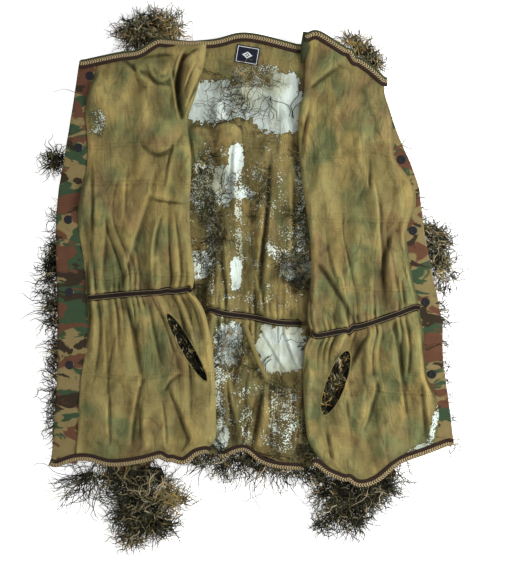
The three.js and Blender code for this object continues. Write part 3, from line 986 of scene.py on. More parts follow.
def set_places(mesh: bmesh.types.BMesh, x: np.ndarray, y: np.ndarray, z: np.ndarray) -> None:
    """Moves a mesh's points to places in millimetres."""
    for vertex, place in zip(mesh.verts, np.stack([x, y, z], 1) * MM):
        vertex.co = place


def unwrap(mesh: bmesh.types.BMesh, along_it: np.ndarray, across: np.ndarray) -> None:
    """Smooths a mesh and gives it a UV map from values at its points."""
    layer = mesh.loops.layers.uv.new("cloth")
    for face in mesh.faces:
        face.smooth = True
        for loop in face.loops:
            loop[layer].uv = (along_it[loop.vert.index], across[loop.vert.index])


def face_up(mesh: bmesh.types.BMesh) -> None:
    """Turns a sheet's faces so that they look up."""
    bmesh.ops.recalc_face_normals(mesh, faces=mesh.faces)
    if sum(face.normal.z for face in mesh.faces) < 0:
        bmesh.ops.reverse_faces(mesh, faces=mesh.faces)


def thicken(piece: Piece, thickness: float) -> bpy.types.Modifier:
    """Gives a sheet its thickness in millimetres, under the side that shows."""
    shell = piece.modifiers.new("thickness", "SOLIDIFY")
    shell.thickness = thickness * MM
    shell.offset = -1
    return shell


def from_curve(name: str, curve: bpy.types.Curve) -> Piece:
    """Turns a curve into a piece in the scene."""
    drawn = bpy.data.objects.new(name, curve)
    bpy.context.scene.collection.objects.link(drawn)
    bpy.context.view_layer.update()
    data = bpy.data.meshes.new_from_object(drawn.evaluated_get(bpy.context.evaluated_depsgraph_get()))
    data.name = name
    bpy.data.objects.remove(drawn)
    bpy.data.curves.remove(curve)
    piece = bpy.data.objects.new(name, data)
    bpy.context.scene.collection.objects.link(piece)
    return piece


# ---- tapes ---------------------------------------------------------------------------------------


@dataclass
class Ribbon:
    """A tape or band that follows a line, with its own UV map: metres along it, and 0 to 1 across.

    Attributes:
        name: The piece's name.
        line: Points of its middle, in millimetres, in order.
        width: Across.
        crown: How far the middle of each stripe stands above its edges.
        stripes: How many rounded stripes it has side by side.
        thickness: Of the tape.
        squares: Grid squares across.
    """

    name: str
    line: np.ndarray
    width: float | Curve
    crown: float = 0.7
    stripes: int = 1
    thickness: float = 1.4
    squares: int = 8

    def build(self, material: Finish) -> Piece:
        """Makes the ribbon."""
        run = distances(self.line)
        segments = max(int(run[-1] / 2.5), 4)
        fine = np.linspace(0, run[-1], segments + 1)
        rough = [np.interp(fine, run, self.line[:, axis]) for axis in range(3)]
        centre = np.stack([smoothed(axis, 9, mode="reflect", reflect_type="odd") for axis in rough], 1)
        way = headings(centre)
        mesh, spots = grid(segments, self.squares)
        index = np.rint((spots[:, 0] + 0.5) * segments).astype(int)
        across = 0.5 - spots[:, 1]
        widths = self.width(fine)[index] if callable(self.width) else self.width
        side = (0.5 - across) * widths
        crown = self.crown * np.abs(np.sin(across * self.stripes * math.pi)) ** 0.7
        x = centre[index, 0] - way[index, 1] * side
        y = centre[index, 1] + way[index, 0] * side
        set_places(mesh, x, y, centre[index, 2] + crown)
        unwrap(mesh, fine[index] * MM, across)
        face_up(mesh)
        piece = finished(self.name, mesh, (material,))
        thicken(piece, self.thickness)
        return piece


# ---- threads -------------------------------------------------------------------------------------


@dataclass
class Threads:
    """A bunch of loose crinkled threads, lying in all directions round their roots.

    Attributes:
        name: The piece's name.
        roots: Gives a number of root points, as rows of x, y, heading in radians.
        count: How many threads.
        length: Shortest and longest.
        heights: Lowest and highest place above the floor.
        dyes: Shares of the dyes, in their order.
        spread: How far headings stray, in radians.
        curl: How much a thread bends at each step.
        crinkle: How much it zigzags.
        radius: Of a thread.
        seed: The random seed.
        points: How many points a thread has.
        lock: How many threads share a root.
        loose: How far a thread strays from its root.
    """

    name: str
    roots: Roots
    count: int
    length: tuple = (50, 120)
    heights: tuple = (1, 20)
    dyes: tuple = (0.84, 0.11, 0.015, 0.035)
    spread: float = 0.6
    curl: float = 0.14
    crinkle: float = 0.1
    radius: float = 0.64
    seed: int = 1
    points: int = 11
    lock: int = 8
    loose: float = 3.5

    def paths(self, light: np.ndarray) -> np.ndarray:
        """Points of every thread, in millimetres.

        Args:
            light: True for the threads that lie on top.

        Returns:
            An array of threads by points by coordinates.
        """
        random = np.random.default_rng(self.seed)
        locks = max(self.count // self.lock, 1)
        roots = self.roots(random, locks)
        roots[:, 2] += random.normal(0, self.spread, locks)
        own = random.integers(0, locks, self.count)
        heading = roots[own, 2] + random.normal(0, 0.35, self.count)
        length = random.uniform(*self.length, self.count)
        turns = random.normal(0, self.curl, (self.count, self.points - 1))
        turns += random.normal(0, self.curl * 0.5, self.count)[:, None]
        angles = heading[:, None] + np.cumsum(turns, 1)
        bends = random.uniform(5, 13, (self.count, 1)) * np.linspace(0, 1, self.points - 1)
        sway = random.uniform(0.2, 0.9, (self.count, 1))
        angles += sway * np.sin(bends + random.uniform(0, 6, (self.count, 1)))
        angles += random.normal(0, self.crinkle, (self.count, self.points - 1))
        step = (length / (self.points - 1))[:, None]
        start = np.zeros((self.count, 1))
        x = np.concatenate([start, np.cumsum(step * np.cos(angles), 1)], 1)
        y = np.concatenate([start, np.cumsum(step * np.sin(angles), 1)], 1)
        x += roots[own, 0, None] + random.normal(0, self.loose, (self.count, 1))
        y += roots[own, 1, None] + random.normal(0, self.loose, (self.count, 1))
        low, high = self.heights
        bottom = np.where(light, 0.62, 0.0)[:, None]
        one, two = random.uniform(bottom, 1, (self.count, 1)), random.uniform(bottom, 1, (self.count, 1))
        share = np.linspace(0, 1, self.points)
        turns = share * random.uniform(4, 12, (self.count, 1))
        wave = 0.12 * np.sin(turns + random.uniform(0, 6, (self.count, 1)))
        z = low + (high - low) * np.clip(one * (1 - share) + two * share + wave, 0, 1)
        return np.stack([x, y, z], 2)

    def build(self, finishes: Sequence[Finish]) -> Piece:
        """Makes the bunch as one mesh of thin closed strands."""
        random = np.random.default_rng(self.seed + 1000)
        kinds = random.choice(len(finishes), self.count, p=np.array(self.dyes) / sum(self.dyes))
        paths = self.paths(kinds > 0)
        curve = bpy.data.curves.new(self.name, "CURVE")
        curve.dimensions = "3D"
        curve.bevel_depth = self.radius * MM
        curve.bevel_resolution = 0
        curve.use_fill_caps = True
        for material in finishes:
            curve.materials.append(material)
        taper = np.interp(np.linspace(0, 1, self.points), [0, 0.7, 1], [1, 0.85, 0.4])
        ones = np.ones((self.points, 1))
        for path, kind, thick in zip(paths * MM, kinds, random.uniform(0.6, 1.3, self.count)):
            spline = curve.splines.new("POLY")
            spline.points.add(self.points - 1)
            spline.points.foreach_set("co", np.concatenate([path, ones], 1).ravel())
            spline.points.foreach_set("radius", taper * thick)
            spline.material_index = int(kind)
        return from_curve(self.name, curve)


def heap(*ovals: tuple, away: tuple | None = None) -> Callable:
    """Roots scattered over ovals.

    Args:
        ovals: Each one's middle x and y, half width, half height, and turn in radians.
        away: A point that the threads lean away from, instead of their oval's middle.

    Returns:
        The function that gives the roots.
    """

    def roots(random: np.random.Generator, count: int) -> np.ndarray:
        """Rows of x, y and heading, scattered over the ovals."""
        table = np.array([(*oval, 0.0)[:5] for oval in ovals])
        area = table[:, 2] * table[:, 3]
        x0, y0, rx, ry, turn = table[random.choice(len(table), count, p=area / area.sum())].T
        angle = random.uniform(0, 2 * math.pi, count)
        far = np.sqrt(random.uniform(0, 1, count))
        a, b = rx * far * np.cos(angle), ry * far * np.sin(angle)
        x = x0 + a * np.cos(turn) - b * np.sin(turn)
        y = y0 + a * np.sin(turn) + b * np.cos(turn)
        from_x, from_y = away or (x0, y0)
        return np.stack([x, y, np.arctan2(y - from_y, x - from_x)], 1)

    return roots


def along(line: Callable, low: float, high: float, half: float, heading: float) -> Callable:
    """Roots scattered along a line that runs from hem to neck.

    Args:
        line: The line's X at a Y.
        low: Where it starts.
        high: Where it ends.
        half: Half the width of the strip.
        heading: The threads' heading.

    Returns:
        The function that gives the roots.
    """

    def roots(random: np.random.Generator, count: int) -> np.ndarray:
        """Rows of x, y and heading, scattered along the line."""
        y = random.uniform(low, high, count)
        x = line(y) + random.uniform(-half, half, count)
        return np.stack([x, y, np.full(count, heading)], 1)

    return roots


class Rest:
    """The top of finished pieces, so that others can lie on them."""

    def __init__(self, *pieces: Piece) -> None:
        """Reads the pieces' surfaces."""
        self.trees = []
        for piece in pieces:
            mesh = bmesh.new()
            mesh.from_mesh(piece.data)
            self.trees.append(BVHTree.FromBMesh(mesh))
            mesh.free()

    def height(self, x: float, y: float, otherwise: float) -> float:
        """Height of the topmost surface at a place.

        Args:
            x: The place along X, in millimetres.
            y: The place along Y.
            otherwise: The height where there is no surface.

        Returns:
            The height in millimetres.
        """
        found = []
        for tree in self.trees:
            hit = tree.ray_cast((x * MM, y * MM, 0.2), (0, 0, -1))[0]
            if hit is not None:
                found.append(hit[2] / MM)
        return max(found) if found else otherwise

    def lift(self, line: np.ndarray, half: float, above: float) -> np.ndarray:
        """Lays a line on the surface.

        Args:
            line: Points of x, y, z in millimetres; z is kept where there is no surface.
            half: Half the width of the tape that follows the line.
            above: How far above the surface it lies.

        Returns:
            The line with its new heights.
        """
        heights = []
        for (x, y, z), (dx, dy) in zip(line, headings(line)):
            sides = [self.height(x - dy * half * s, y + dx * half * s, z) for s in (-1, -0.5, 0, 0.5, 1)]
            heights.append(sum(sorted(sides)[2:]) / 3 + above)
        return np.column_stack([line[:, :2], smoothed(heights, 11)])


# ---- the jacket ----------------------------------------------------------------------------------


class Side(Enum):
    """The wearer's right or left, as the sign of X where it lies."""

    RIGHT = -1
    LEFT = 1

    @property
    def word(self) -> str:
        """The side's name."""
        return self.name.lower()


@dataclass
class Front:
    """One front of the jacket: its lining, placket, bindings, elastic, slit piping and loose threads.

    Attributes:
        side: Which front.
        nodes: The CAD nodes.
        finishes: The finishes.
        folds: Long folds of its lining.
        windows: Gauze places in its lining.
        inner_top: Crest of its inner edge above the side panel, as (Y, X).
        overlap: How far its lining covers the placket, as (Y, distance).
        slit: The hand slit, as (centre, radii, turn).
        tucks: Heights of the sewn lines.
        blend_x: X where the lining leaves the front and where it joins the back; not used.
        curled: How far the placket's free edge is curled under, as (Y, distance).
        pitch: Distance between the gathers at the elastic.
        flat: Share across where the inner edge starts to roll.
        round_end: Share across where the roll ends and the flap under it starts.
        roll: Radius of the roll.
        base: Height of the cloth's middle.
    """

    side: Side
    nodes: dict
    finishes: Wardrobe
    folds: tuple
    windows: tuple
    inner_top: tuple
    overlap: tuple
    slit: tuple
    tucks: tuple
    blend_x: tuple
    curled: tuple = ((-400, 0), (400, 0))
    pitch: float = 11.0
    flat: float = 0.84
    round_end: float = 0.95
    roll: float = 8.7
    base: float = 44.2

    def __post_init__(self) -> None:
        """Reads the outlines of the CAD nodes."""
        word = self.side.word
        self.body = f"{word}_front"
        self.band = Slices(self.nodes[f"{word}_placket"], 1, 90)
        panel = Slices(self.nodes[f"{word}_side_panel"], 1, 90)
        inward = -self.side.value
        crest = panel.high if inward > 0 else panel.low
        limit = self.inner_top[0][0] - 15 if self.inner_top else math.inf
        low_part = [(y, x) for y, x in zip(panel.at, crest) if y < limit]
        self.neck_line = self.joined("neck_tape", "side_neck_tape")
        self.waist_line = self.joined("waist_elastic", "side_waist_elastic")
        self.hem_line = self.joined("hem_tape", "side_hem_tape")
        free = through([*low_part, *self.inner_top])
        waist = self.waist_line[-1 if inward > 0 else 0, 1]
        self.inner = lambda y: free(y) - inward * 9 * np.exp(-(((y - waist) / 18) ** 2))
        self.cover = through(self.overlap)
        bound = self.band.upper if inward > 0 else self.band.lower
        below_corner = self.band.at[-1] - 12
        self.edge = lambda y: bound(np.minimum(y, below_corner))
        self.outer = lambda y: self.edge(y) - inward * self.cover(y)

    def joined(self, *kinds: str) -> np.ndarray:
        """The middle line of this side's tapes of some kinds, from low X to high X."""
        names = [f"{self.side.word}_{kind}" for kind in kinds]
        if self.side is Side.RIGHT and "neck_tape" in kinds:
            names = ["right_neck_tape", "back_neck_tape"]
        lines = [Slices(self.nodes[name], 0, 40).middle() for name in names if name in self.nodes]
        line = np.concatenate(lines)
        line = line[np.argsort(line[:, 0])]
        if "back_neck_tape" in names:
            line = np.concatenate([line, line[-1:] * 5 - line[-2:-1] * 4])
        if "hem_tape" in kinds and self.side is Side.RIGHT:
            line = np.concatenate([line[:1] * 2 - line[1:2], line])
        return line

    def lay(self, u: np.ndarray, v: np.ndarray) -> tuple:
        """Places the lining's grid, with its inner edge rolled under.

        Args:
            u: Shares across, from the placket to the end of the roll.
            v: Shares down, from neck to hem.

        Returns:
            Arrays of x, y, z and the cut distance across.
        """
        inward = -self.side.value
        y = 380 - v * 700
        for _ in range(60):
            width = (self.inner(y) - inward * self.roll - self.outer(y)) * inward
            x = self.outer(y) + inward * width * np.clip(u / self.flat, 0, 1)
            top = np.interp(x, self.neck_line[:, 0], self.neck_line[:, 1])
            bottom = np.interp(x, self.hem_line[:, 0], self.hem_line[:, 1])
            y = top * (1 - v) + bottom * v
        turn = np.clip((u - self.flat) / (self.round_end - self.flat), 0, 1) * math.pi
        under = np.clip((u - self.round_end) / (1 - self.round_end), 0, 1) * (18 - 15 * soft(v, 0.8, 0.9))
        x = x + inward * (self.roll * np.sin(turn) - under)
        z = self.base - self.roll * (1 - np.cos(turn))
        onto = (self.edge(y) - x) * inward
        z += 2.6 * soft(onto, -8, 3) * soft(u, -0.02, 0.05)
        return x, y, z, u * 235

    def bend(self, piece: Piece) -> None:
        """Bakes a piece's place into its mesh."""
        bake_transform(piece)

    def lining(self) -> Piece:
        """Makes the lining."""
        waist = self.waist_line
        gather = Gather(
            lambda x: np.interp(x, waist[:, 0], waist[:, 1]),
            pitch=self.pitch,
            height=4.6,
            reach=(105, 150),
            seed=11 + self.side.value,
        )
        word = self.side.word
        cloth = Cloth(
            f"{word}_front_lining",
            columns=150,
            rows=300,
            lay=self.lay,
            folds=self.folds,
            gather=gather,
            tucks=self.tucks,
            windows=self.windows,
            slit=self.slit,
            edge_fade=(0.05, 0.82),
        )
        piece = cloth.build(self.finishes.camouflage, self.finishes.lining)
        self.bend(piece)
        replaced = [f"{word}_front_panel", f"{word}_side_panel"]
        if self.side is Side.RIGHT:
            replaced.append("right_armhole_roll")
        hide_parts(*replaced)
        return piece

    def placket(self) -> Piece:
        """Makes the doubled camouflage band with its rows of stitches."""
        line = self.band.middle()[:, [1, 0, 2]]
        line[:, 2] = 43.4
        snaps = [middle_of(name)[1] for name in self.snap_nodes()]
        near = np.min(np.abs(line[:, 1, None] - np.array(snaps)), 1)
        line[:, 2] += 1.3 * Ripple(90 + self.side.value, 38)(line[:, 1], line[:, 1] * 0) * soft(near, 10, 34)
        line = line[::-1]
        inward = -self.side.value
        gap = np.maximum(3 - self.cover(line[:, 1]), 0)
        line[:, 0] += inward * gap / 2
        curl = through(self.curled)(line[:, 1])
        line[:, 0] += inward * curl / 2
        wide = (self.band.high - self.band.low)[::-1] + gap - curl
        top = line[:1] * 3 - line[1:2] * 2 if self.side is Side.RIGHT else line[:0]
        line = np.concatenate([top, line, line[-1:] * 2 - line[-2:-1]])
        wide = np.concatenate([wide[: len(top)], wide, wide[-1:]])
        run = distances(line)
        ribbon = Ribbon(
            f"{self.side.word}_placket_band",
            line,
            lambda far: np.interp(far, run, wide),
            crown=0.5,
            thickness=2.6,
            squares=14,
        )
        piece = ribbon.build(self.finishes.placket)
        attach(piece, self.body)
        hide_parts(f"{self.side.word}_placket")
        return piece

    def snap_nodes(self) -> list[str]:
        """Names of the snap halves that show on this front."""
        kind = "post" if self.side is Side.RIGHT else "socket"
        return [f"{self.side.word}_{kind}_{number}" for number in range(1, 6)]

    def tape(self, kind: str, line: np.ndarray, width: float, nodes: tuple, rest: Rest) -> Piece:
        """Makes a binding or elastic that lies on the lining.

        Args:
            kind: The piece's name after the side.
            line: Its middle line.
            width: Its width.
            nodes: The CAD nodes that it replaces.
            rest: What it lies on.

        Returns:
            The piece.
        """
        is_elastic = kind == "waist_band"
        line = rest.lift(resampled(line, 90), width * 0.4, 1.1)
        shape = {"crown": 0.5, "stripes": 1} if is_elastic else {"crown": 1.0, "stripes": 2}
        ribbon = Ribbon(f"{self.side.word}_{kind}", line, width, thickness=1.4, squares=12, **shape)
        piece = ribbon.build(self.finishes.elastic if is_elastic else self.finishes.striped)
        self.bend(piece)
        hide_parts(*nodes)
        return piece

    def piping(self) -> Piece:
        """Makes the cord-filled edge round the hand slit."""
        (cx, cy), (rx, ry), turn = self.slit
        angles = np.linspace(0, 2 * math.pi, 64, endpoint=False)
        curve = bpy.data.curves.new("piping", "CURVE")
        curve.dimensions = "3D"
        curve.bevel_depth = 1.1 * MM
        curve.bevel_resolution = 2
        spline = curve.splines.new("POLY")
        spline.points.add(len(angles) - 1)
        spline.use_cyclic_u = True
        rest = Rest(self.pieces[0])
        for point, angle in zip(spline.points, angles):
            a, b = (rx + 0.6) * math.cos(angle), (ry + 0.6) * math.sin(angle)
            x = cx + a * math.cos(turn) - b * math.sin(turn)
            y = cy + a * math.sin(turn) + b * math.cos(turn)
            out = 1 + 2.5 / math.hypot(a, b)
            z = rest.height(cx + (x - cx) * out, cy + (y - cy) * out, self.base)
            point.co = (x * MM, y * MM, (z - 0.2) * MM, 1)
        curve.materials.append(self.finishes.piping)
        made = bpy.data.objects.new("piping", curve)
        bpy.context.scene.collection.objects.link(made)
        bpy.context.view_layer.update()
        data = bpy.data.meshes.new_from_object(made.evaluated_get(bpy.context.evaluated_depsgraph_get()))
        bpy.data.objects.remove(made)
        for face in data.polygons:
            face.use_smooth = True
        piece = bpy.data.objects.new(f"{self.side.word}_slit_piping", data)
        bpy.context.scene.collection.objects.link(piece)
        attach(piece, "back")
        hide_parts(f"{self.side.word}_slit_welt")
        return piece

    def threads(self) -> list[Piece]:
        """Makes the threads that are tied to this front's outside, and those that show through its slit."""
        word = self.side.word
        panel = Slices(self.nodes[f"{word}_front_thread_mat"], 1)
        middle = (panel.low + panel.high) / 2
        half = float(np.min(panel.high - panel.low)) / 2
        under = Threads(
            f"{word}_front_threads",
            along(lambda y: np.interp(y, panel.at, middle), panel.at[0], panel.at[-1], half, -1.57),
            count=640,
            length=(50, 110),
            heights=(34.8, 38.4),
            spread=0.5,
            seed=21 + self.side.value,
        )
        piece = under.build(self.finishes.threads)
        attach(piece, self.body)
        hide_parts(f"{word}_front_thread_mat")
        outer = self.band.lower if self.side is Side.RIGHT else self.band.upper
        shift = self.side.value * 4
        curl = through(self.curled)
        heading = 0 if self.side is Side.LEFT else math.pi
        wisps = Threads(
            f"{word}_edge_wisps",
            along(lambda y: outer(y) - shift - self.side.value * curl(y), -300, 120, 5, heading),
            count=300 if self.side is Side.RIGHT else 160,
            length=(12, 34),
            heights=(30, 38.5),
            dyes=(0.8, 0.15, 0.05, 0.0),
            spread=0.8,
            radius=0.55,
            lock=4,
            seed=31 + self.side.value,
        ).build(self.finishes.threads)
        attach(wisps, self.body)
        (cx, cy), radii, turn = self.slit
        along_slit = [shift * radii[0] * 0.42 for shift in (-1, 0, 1)]
        size = (radii[0] * 0.55, radii[1], turn)
        ovals = [(cx + s * math.cos(turn), cy + s * math.sin(turn), *size) for s in along_slit]
        shown = Threads(
            f"{word}_slit_threads",
            heap(*ovals),
            count=640 if self.side is Side.RIGHT else 860,
            length=(14, 40),
            heights=(27, 40),
            dyes=(0.93, 0.03, 0.01, 0.03) if self.side is Side.RIGHT else (0.92, 0.03, 0.03, 0.02),
            spread=0.8,
            radius=1.1,
            points=9,
            seed=25 + self.side.value,
        ).build(self.finishes.threads)
        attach(shown, "back")
        return [piece, wisps, shown]

    def build(self) -> None:
        """Builds and dresses the front."""
        word = self.side.word
        lining = self.lining()
        placket = self.placket()
        self.pieces = [lining]
        rest = Rest(lining)
        neck_nodes = ("right_neck_tape", "back_neck_tape")
        if self.side is Side.LEFT:
            neck_nodes = ("left_side_neck_tape", "left_neck_tape")
        waist_nodes = (f"{word}_waist_elastic", f"{word}_side_waist_elastic")
        hem_nodes = (f"{word}_hem_tape", f"{word}_side_hem_tape")
        neck = self.tape("neck_binding", self.neck_line, 12.5, neck_nodes, rest)
        waist = self.tape("waist_band", self.waist_line, 12.5, waist_nodes, rest)
        hem = self.tape("hem_binding", self.hem_line[::-1], 13, hem_nodes, Rest(lining, placket))
        facing_line = rest.lift(resampled(beside(self.neck_line, 6.5), 90), 4, -1.4)
        facing = Ribbon(f"{word}_collar_facing", facing_line, 7, crown=1.2, thickness=1.6)
        facing_piece = facing.build(self.finishes.facing)
        self.bend(facing_piece)
        extra = []
        if self.side is Side.LEFT:
            bend = np.array([(98.0, 366.0, 30.0), (97.0, 392.0, 38.0), (101.0, 416.0, 42.0)])
            fold = Ribbon("left_collar_fold", resampled(bend, 30), 15, crown=3.0, thickness=1.6)
            extra.append(fold.build(self.finishes.facing))
            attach(extra[0], "back")
        piping = self.piping()
        threads = self.threads()
        for name in self.snap_nodes():
            self.dress(name)
        hidden = "stud" if self.side is Side.RIGHT else "cap"
        for number in range(1, 6):
            self.dress(f"{word}_{hidden}_{number}")
        held = [neck, waist, hem, facing_piece, *extra, piping, *threads]
        for piece in (lining, placket, *held):
            LOG.info("made %s", piece.name)

    def dress(self, name: str) -> None:
        """Gives a CAD node the enamel of the snaps."""
        mesh = self.nodes[name].data
        mesh.materials.clear()
        mesh.materials.append(self.finishes.snap)


@dataclass
class Back:
    """The back of the jacket: its gathered lining, elastic, hem, label and loose threads."""

    nodes: dict
    finishes: Wardrobe
    folds: tuple
    windows: tuple
    base: float = 26.2

    def __post_init__(self) -> None:
        """Reads the outlines of the CAD nodes."""
        self.panel = Slices(self.nodes["back_panel"], 1, 90)
        self.neck_line = Slices(self.nodes["back_neck_tape"], 0, 50).middle()
        self.hem_line = Slices(self.nodes["back_hem_tape"], 0, 50).middle()
        self.waist_line = Slices(self.nodes["back_waist_elastic"], 0, 50).middle()

    def lay(self, u: np.ndarray, v: np.ndarray) -> tuple:
        """Places the lining's grid.

        Args:
            u: Shares across, from the wearer's right to the left.
            v: Shares down, from neck to hem.

        Returns:
            Arrays of x, y, z and the cut distance across.
        """
        y = 390 - v * 690
        for _ in range(10):
            left, right = self.panel.lower(y) - 3, self.panel.upper(y) + 3
            x = left * (1 - u) + right * u
            top = np.interp(x, self.neck_line[:, 0], self.neck_line[:, 1])
            bottom = np.interp(x, self.hem_line[:, 0], self.hem_line[:, 1])
            y = top * (1 - v) + bottom * v
        return x, y, np.full_like(x, self.base), u * 260

    def lining(self) -> Piece:
        """Makes the lining."""
        waist = self.waist_line
        gather = Gather(
            lambda x: np.interp(x, waist[:, 0], waist[:, 1]),
            pitch=15,
            height=4.2,
            reach=(150, 150),
            seed=40,
        )
        cloth = Cloth(
            "back_lining",
            columns=150,
            rows=320,
            lay=self.lay,
            folds=self.folds,
            gather=gather,
            tucks=(226, 105, -25, -200),
            windows=self.windows,
            edge_fade=(0.1, 0.9),
            neck_fade=(0.05, 0.1),
        )
        piece = cloth.build(self.finishes.camouflage, self.finishes.lining)
        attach(piece, "back")
        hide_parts("back_panel")
        return piece

    def build(self) -> None:
        """Builds and dresses the back."""
        lining = self.lining()
        rest = Rest(lining)
        waist_line = rest.lift(resampled(self.waist_line, 70), 5, 1.2)
        waist = Ribbon("back_waist_band", waist_line, 12.5, crown=0.5).build(self.finishes.elastic)
        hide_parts("back_waist_elastic")
        hem_line = rest.lift(resampled(self.hem_line[::-1], 70), 5, 1.2)
        hem = Ribbon("back_hem_binding", hem_line, 12, stripes=2).build(self.finishes.striped)
        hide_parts("back_hem_tape")
        ends = np.array([(-6, -78, 33), (6, -110, 35), (18, -142, 35), (32, -172, 33)], float)
        strap = Ribbon("back_inner_strap", resampled(ends, 30), 8, crown=1.4).build(self.finishes.piping)
        under = Threads(
            "back_threads",
            along(lambda y: y * 0, -345, 395, 98, -1.57),
            count=1000,
            length=(50, 120),
            heights=(1.5, 20.4),
            seed=41,
        ).build(self.finishes.threads)
        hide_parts("back_thread_mat")
        fringe = Threads(
            "hem_fringe",
            heap((76, -322, 58, 12, -0.3), (-20, -316, 40, 10), (-66, -318, 22, 12)),
            count=800,
            length=(16, 46),
            heights=(6, 27),
            dyes=(0.86, 0.1, 0.02, 0.02),
            spread=1.0,
            seed=42,
        ).build(self.finishes.threads)
        seen = self.seen_threads()
        for piece in (waist, hem, strap, under, fringe, *seen):
            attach(piece, "back")
        held = [waist, hem, strap, under, fringe, *seen]
        for piece in (lining, *held):
            LOG.info("made %s", piece.name)
        self.label(rest)

    def seen_threads(self) -> list[Piece]:
        """Makes the threads that show over the gauze."""
        gold, dark, mixed = (0.2, 0.6, 0.16, 0.04), (0.9, 0.08, 0.02, 0.0), (0.74, 0.18, 0.07, 0.01)
        middle = heap((-18, 190, 12, 46), (8, 130, 20, 24), (30, 190, 20, 50))
        heaps = (
            ("shoulder_gold", heap((10, 338, 38, 22), (-18, 344, 22, 22)), 190, (12, 36), gold, 0.34),
            ("shoulder_dark", heap((-44, 316, 36, 44), (-14, 272, 30, 30)), 120, (18, 60), dark, 0.42),
            ("middle_right", heap((-76, 160, 18, 62), (-48, 110, 16, 60)), 300, (14, 44), dark, 0.4),
            ("middle", middle, 170, (12, 36), mixed, 0.34),
            ("roll_left", heap((88, 110, 8, 130)), 260, (12, 30), dark, 0.42),
            ("waist_left", heap((75, 10, 40, 24, -0.8)), 220, (12, 36), dark, 0.38),
            ("waist_right", heap((-82, 10, 20, 50), (-50, 50, 14, 50)), 260, (14, 40), dark, 0.4),
            ("below_waist", heap((-34, -128, 30, 40)), 240, (12, 36), mixed, 0.36),
            ("low_right", heap((-54, -200, 14, 100)), 320, (12, 36), dark, 0.4),
            ("low_left", heap((92, -220, 12, 84), (60, -230, 18, 60)), 260, (12, 34), mixed, 0.38),
            ("roll_low", heap((106, -240, 6, 66)), 260, (12, 34), dark, 0.42),
            ("hem_corner", heap((110, -297, 8, 12)), 150, (10, 26), dark, 0.7),
            ("gauze_lines", heap((60, -126, 36, 30), (50, 280, 40, 30)), 20, (50, 90), dark, 0.5),
        )
        made = []
        for number, (name, roots, count, length, dyes, radius) in enumerate(heaps):
            bunch = Threads(
                f"back_{name}_threads",
                roots,
                count=count,
                length=length,
                heights=(28.5, 34),
                dyes=dyes,
                spread=2.0,
                radius=radius,
                seed=60 + number,
                points=9,
                lock=4,
            )
            made.append(bunch.build(self.finishes.threads))
        return made

    def label(self, rest: Rest) -> None:
        """Makes the neck label, with a woven border and a small diamond."""
        centre = middle_of("neck_label")
        turn, wide, tall = -0.17, 40.0, 31.0
        mesh = bmesh.new()
        bmesh.ops.create_grid(mesh, x_segments=40, y_segments=31, size=0.5)
        under = [(centre[0] + dx, centre[1] + dy) for dx in (-16, 0, 16) for dy in (-12, 0, 12)]
        top = max(rest.height(x, y, 26.6) for x, y in under)
        for face in mesh.faces:
            middle = face.calc_center_median()
            x, y = middle.x * wide, middle.y * tall
            border = 12.6 < max(abs(x) - (wide - tall) / 2, abs(y)) < 13.6
            diamond = 3.4 < abs(x) * 0.7 + abs(y) < 6 or abs(x) * 0.7 + abs(y) < 1.6
            face.material_index = 1 if border or diamond else 0
            face.smooth = True
        for vertex in mesh.verts:
            x, y = vertex.co.x * wide, vertex.co.y * tall - 2.4
            sag = 0.5 * math.sin(x / 9 + 1) * (0.5 - y / tall)
            place = (
                centre[0] + x * math.cos(turn) - y * math.sin(turn),
                centre[1] + x * math.sin(turn) + y * math.cos(turn),
                top + 0.4 + sag,
            )
            vertex.co = [value * MM for value in place]
        piece = finished("woven_label", mesh, (self.finishes.label, self.finishes.mark))
        shell = piece.modifiers.new("thickness", "SOLIDIFY")
        shell.thickness = 0.7 * MM
        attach(piece, "neck_label")
        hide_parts("neck_label")
        LOG.info("made %s", piece.name)


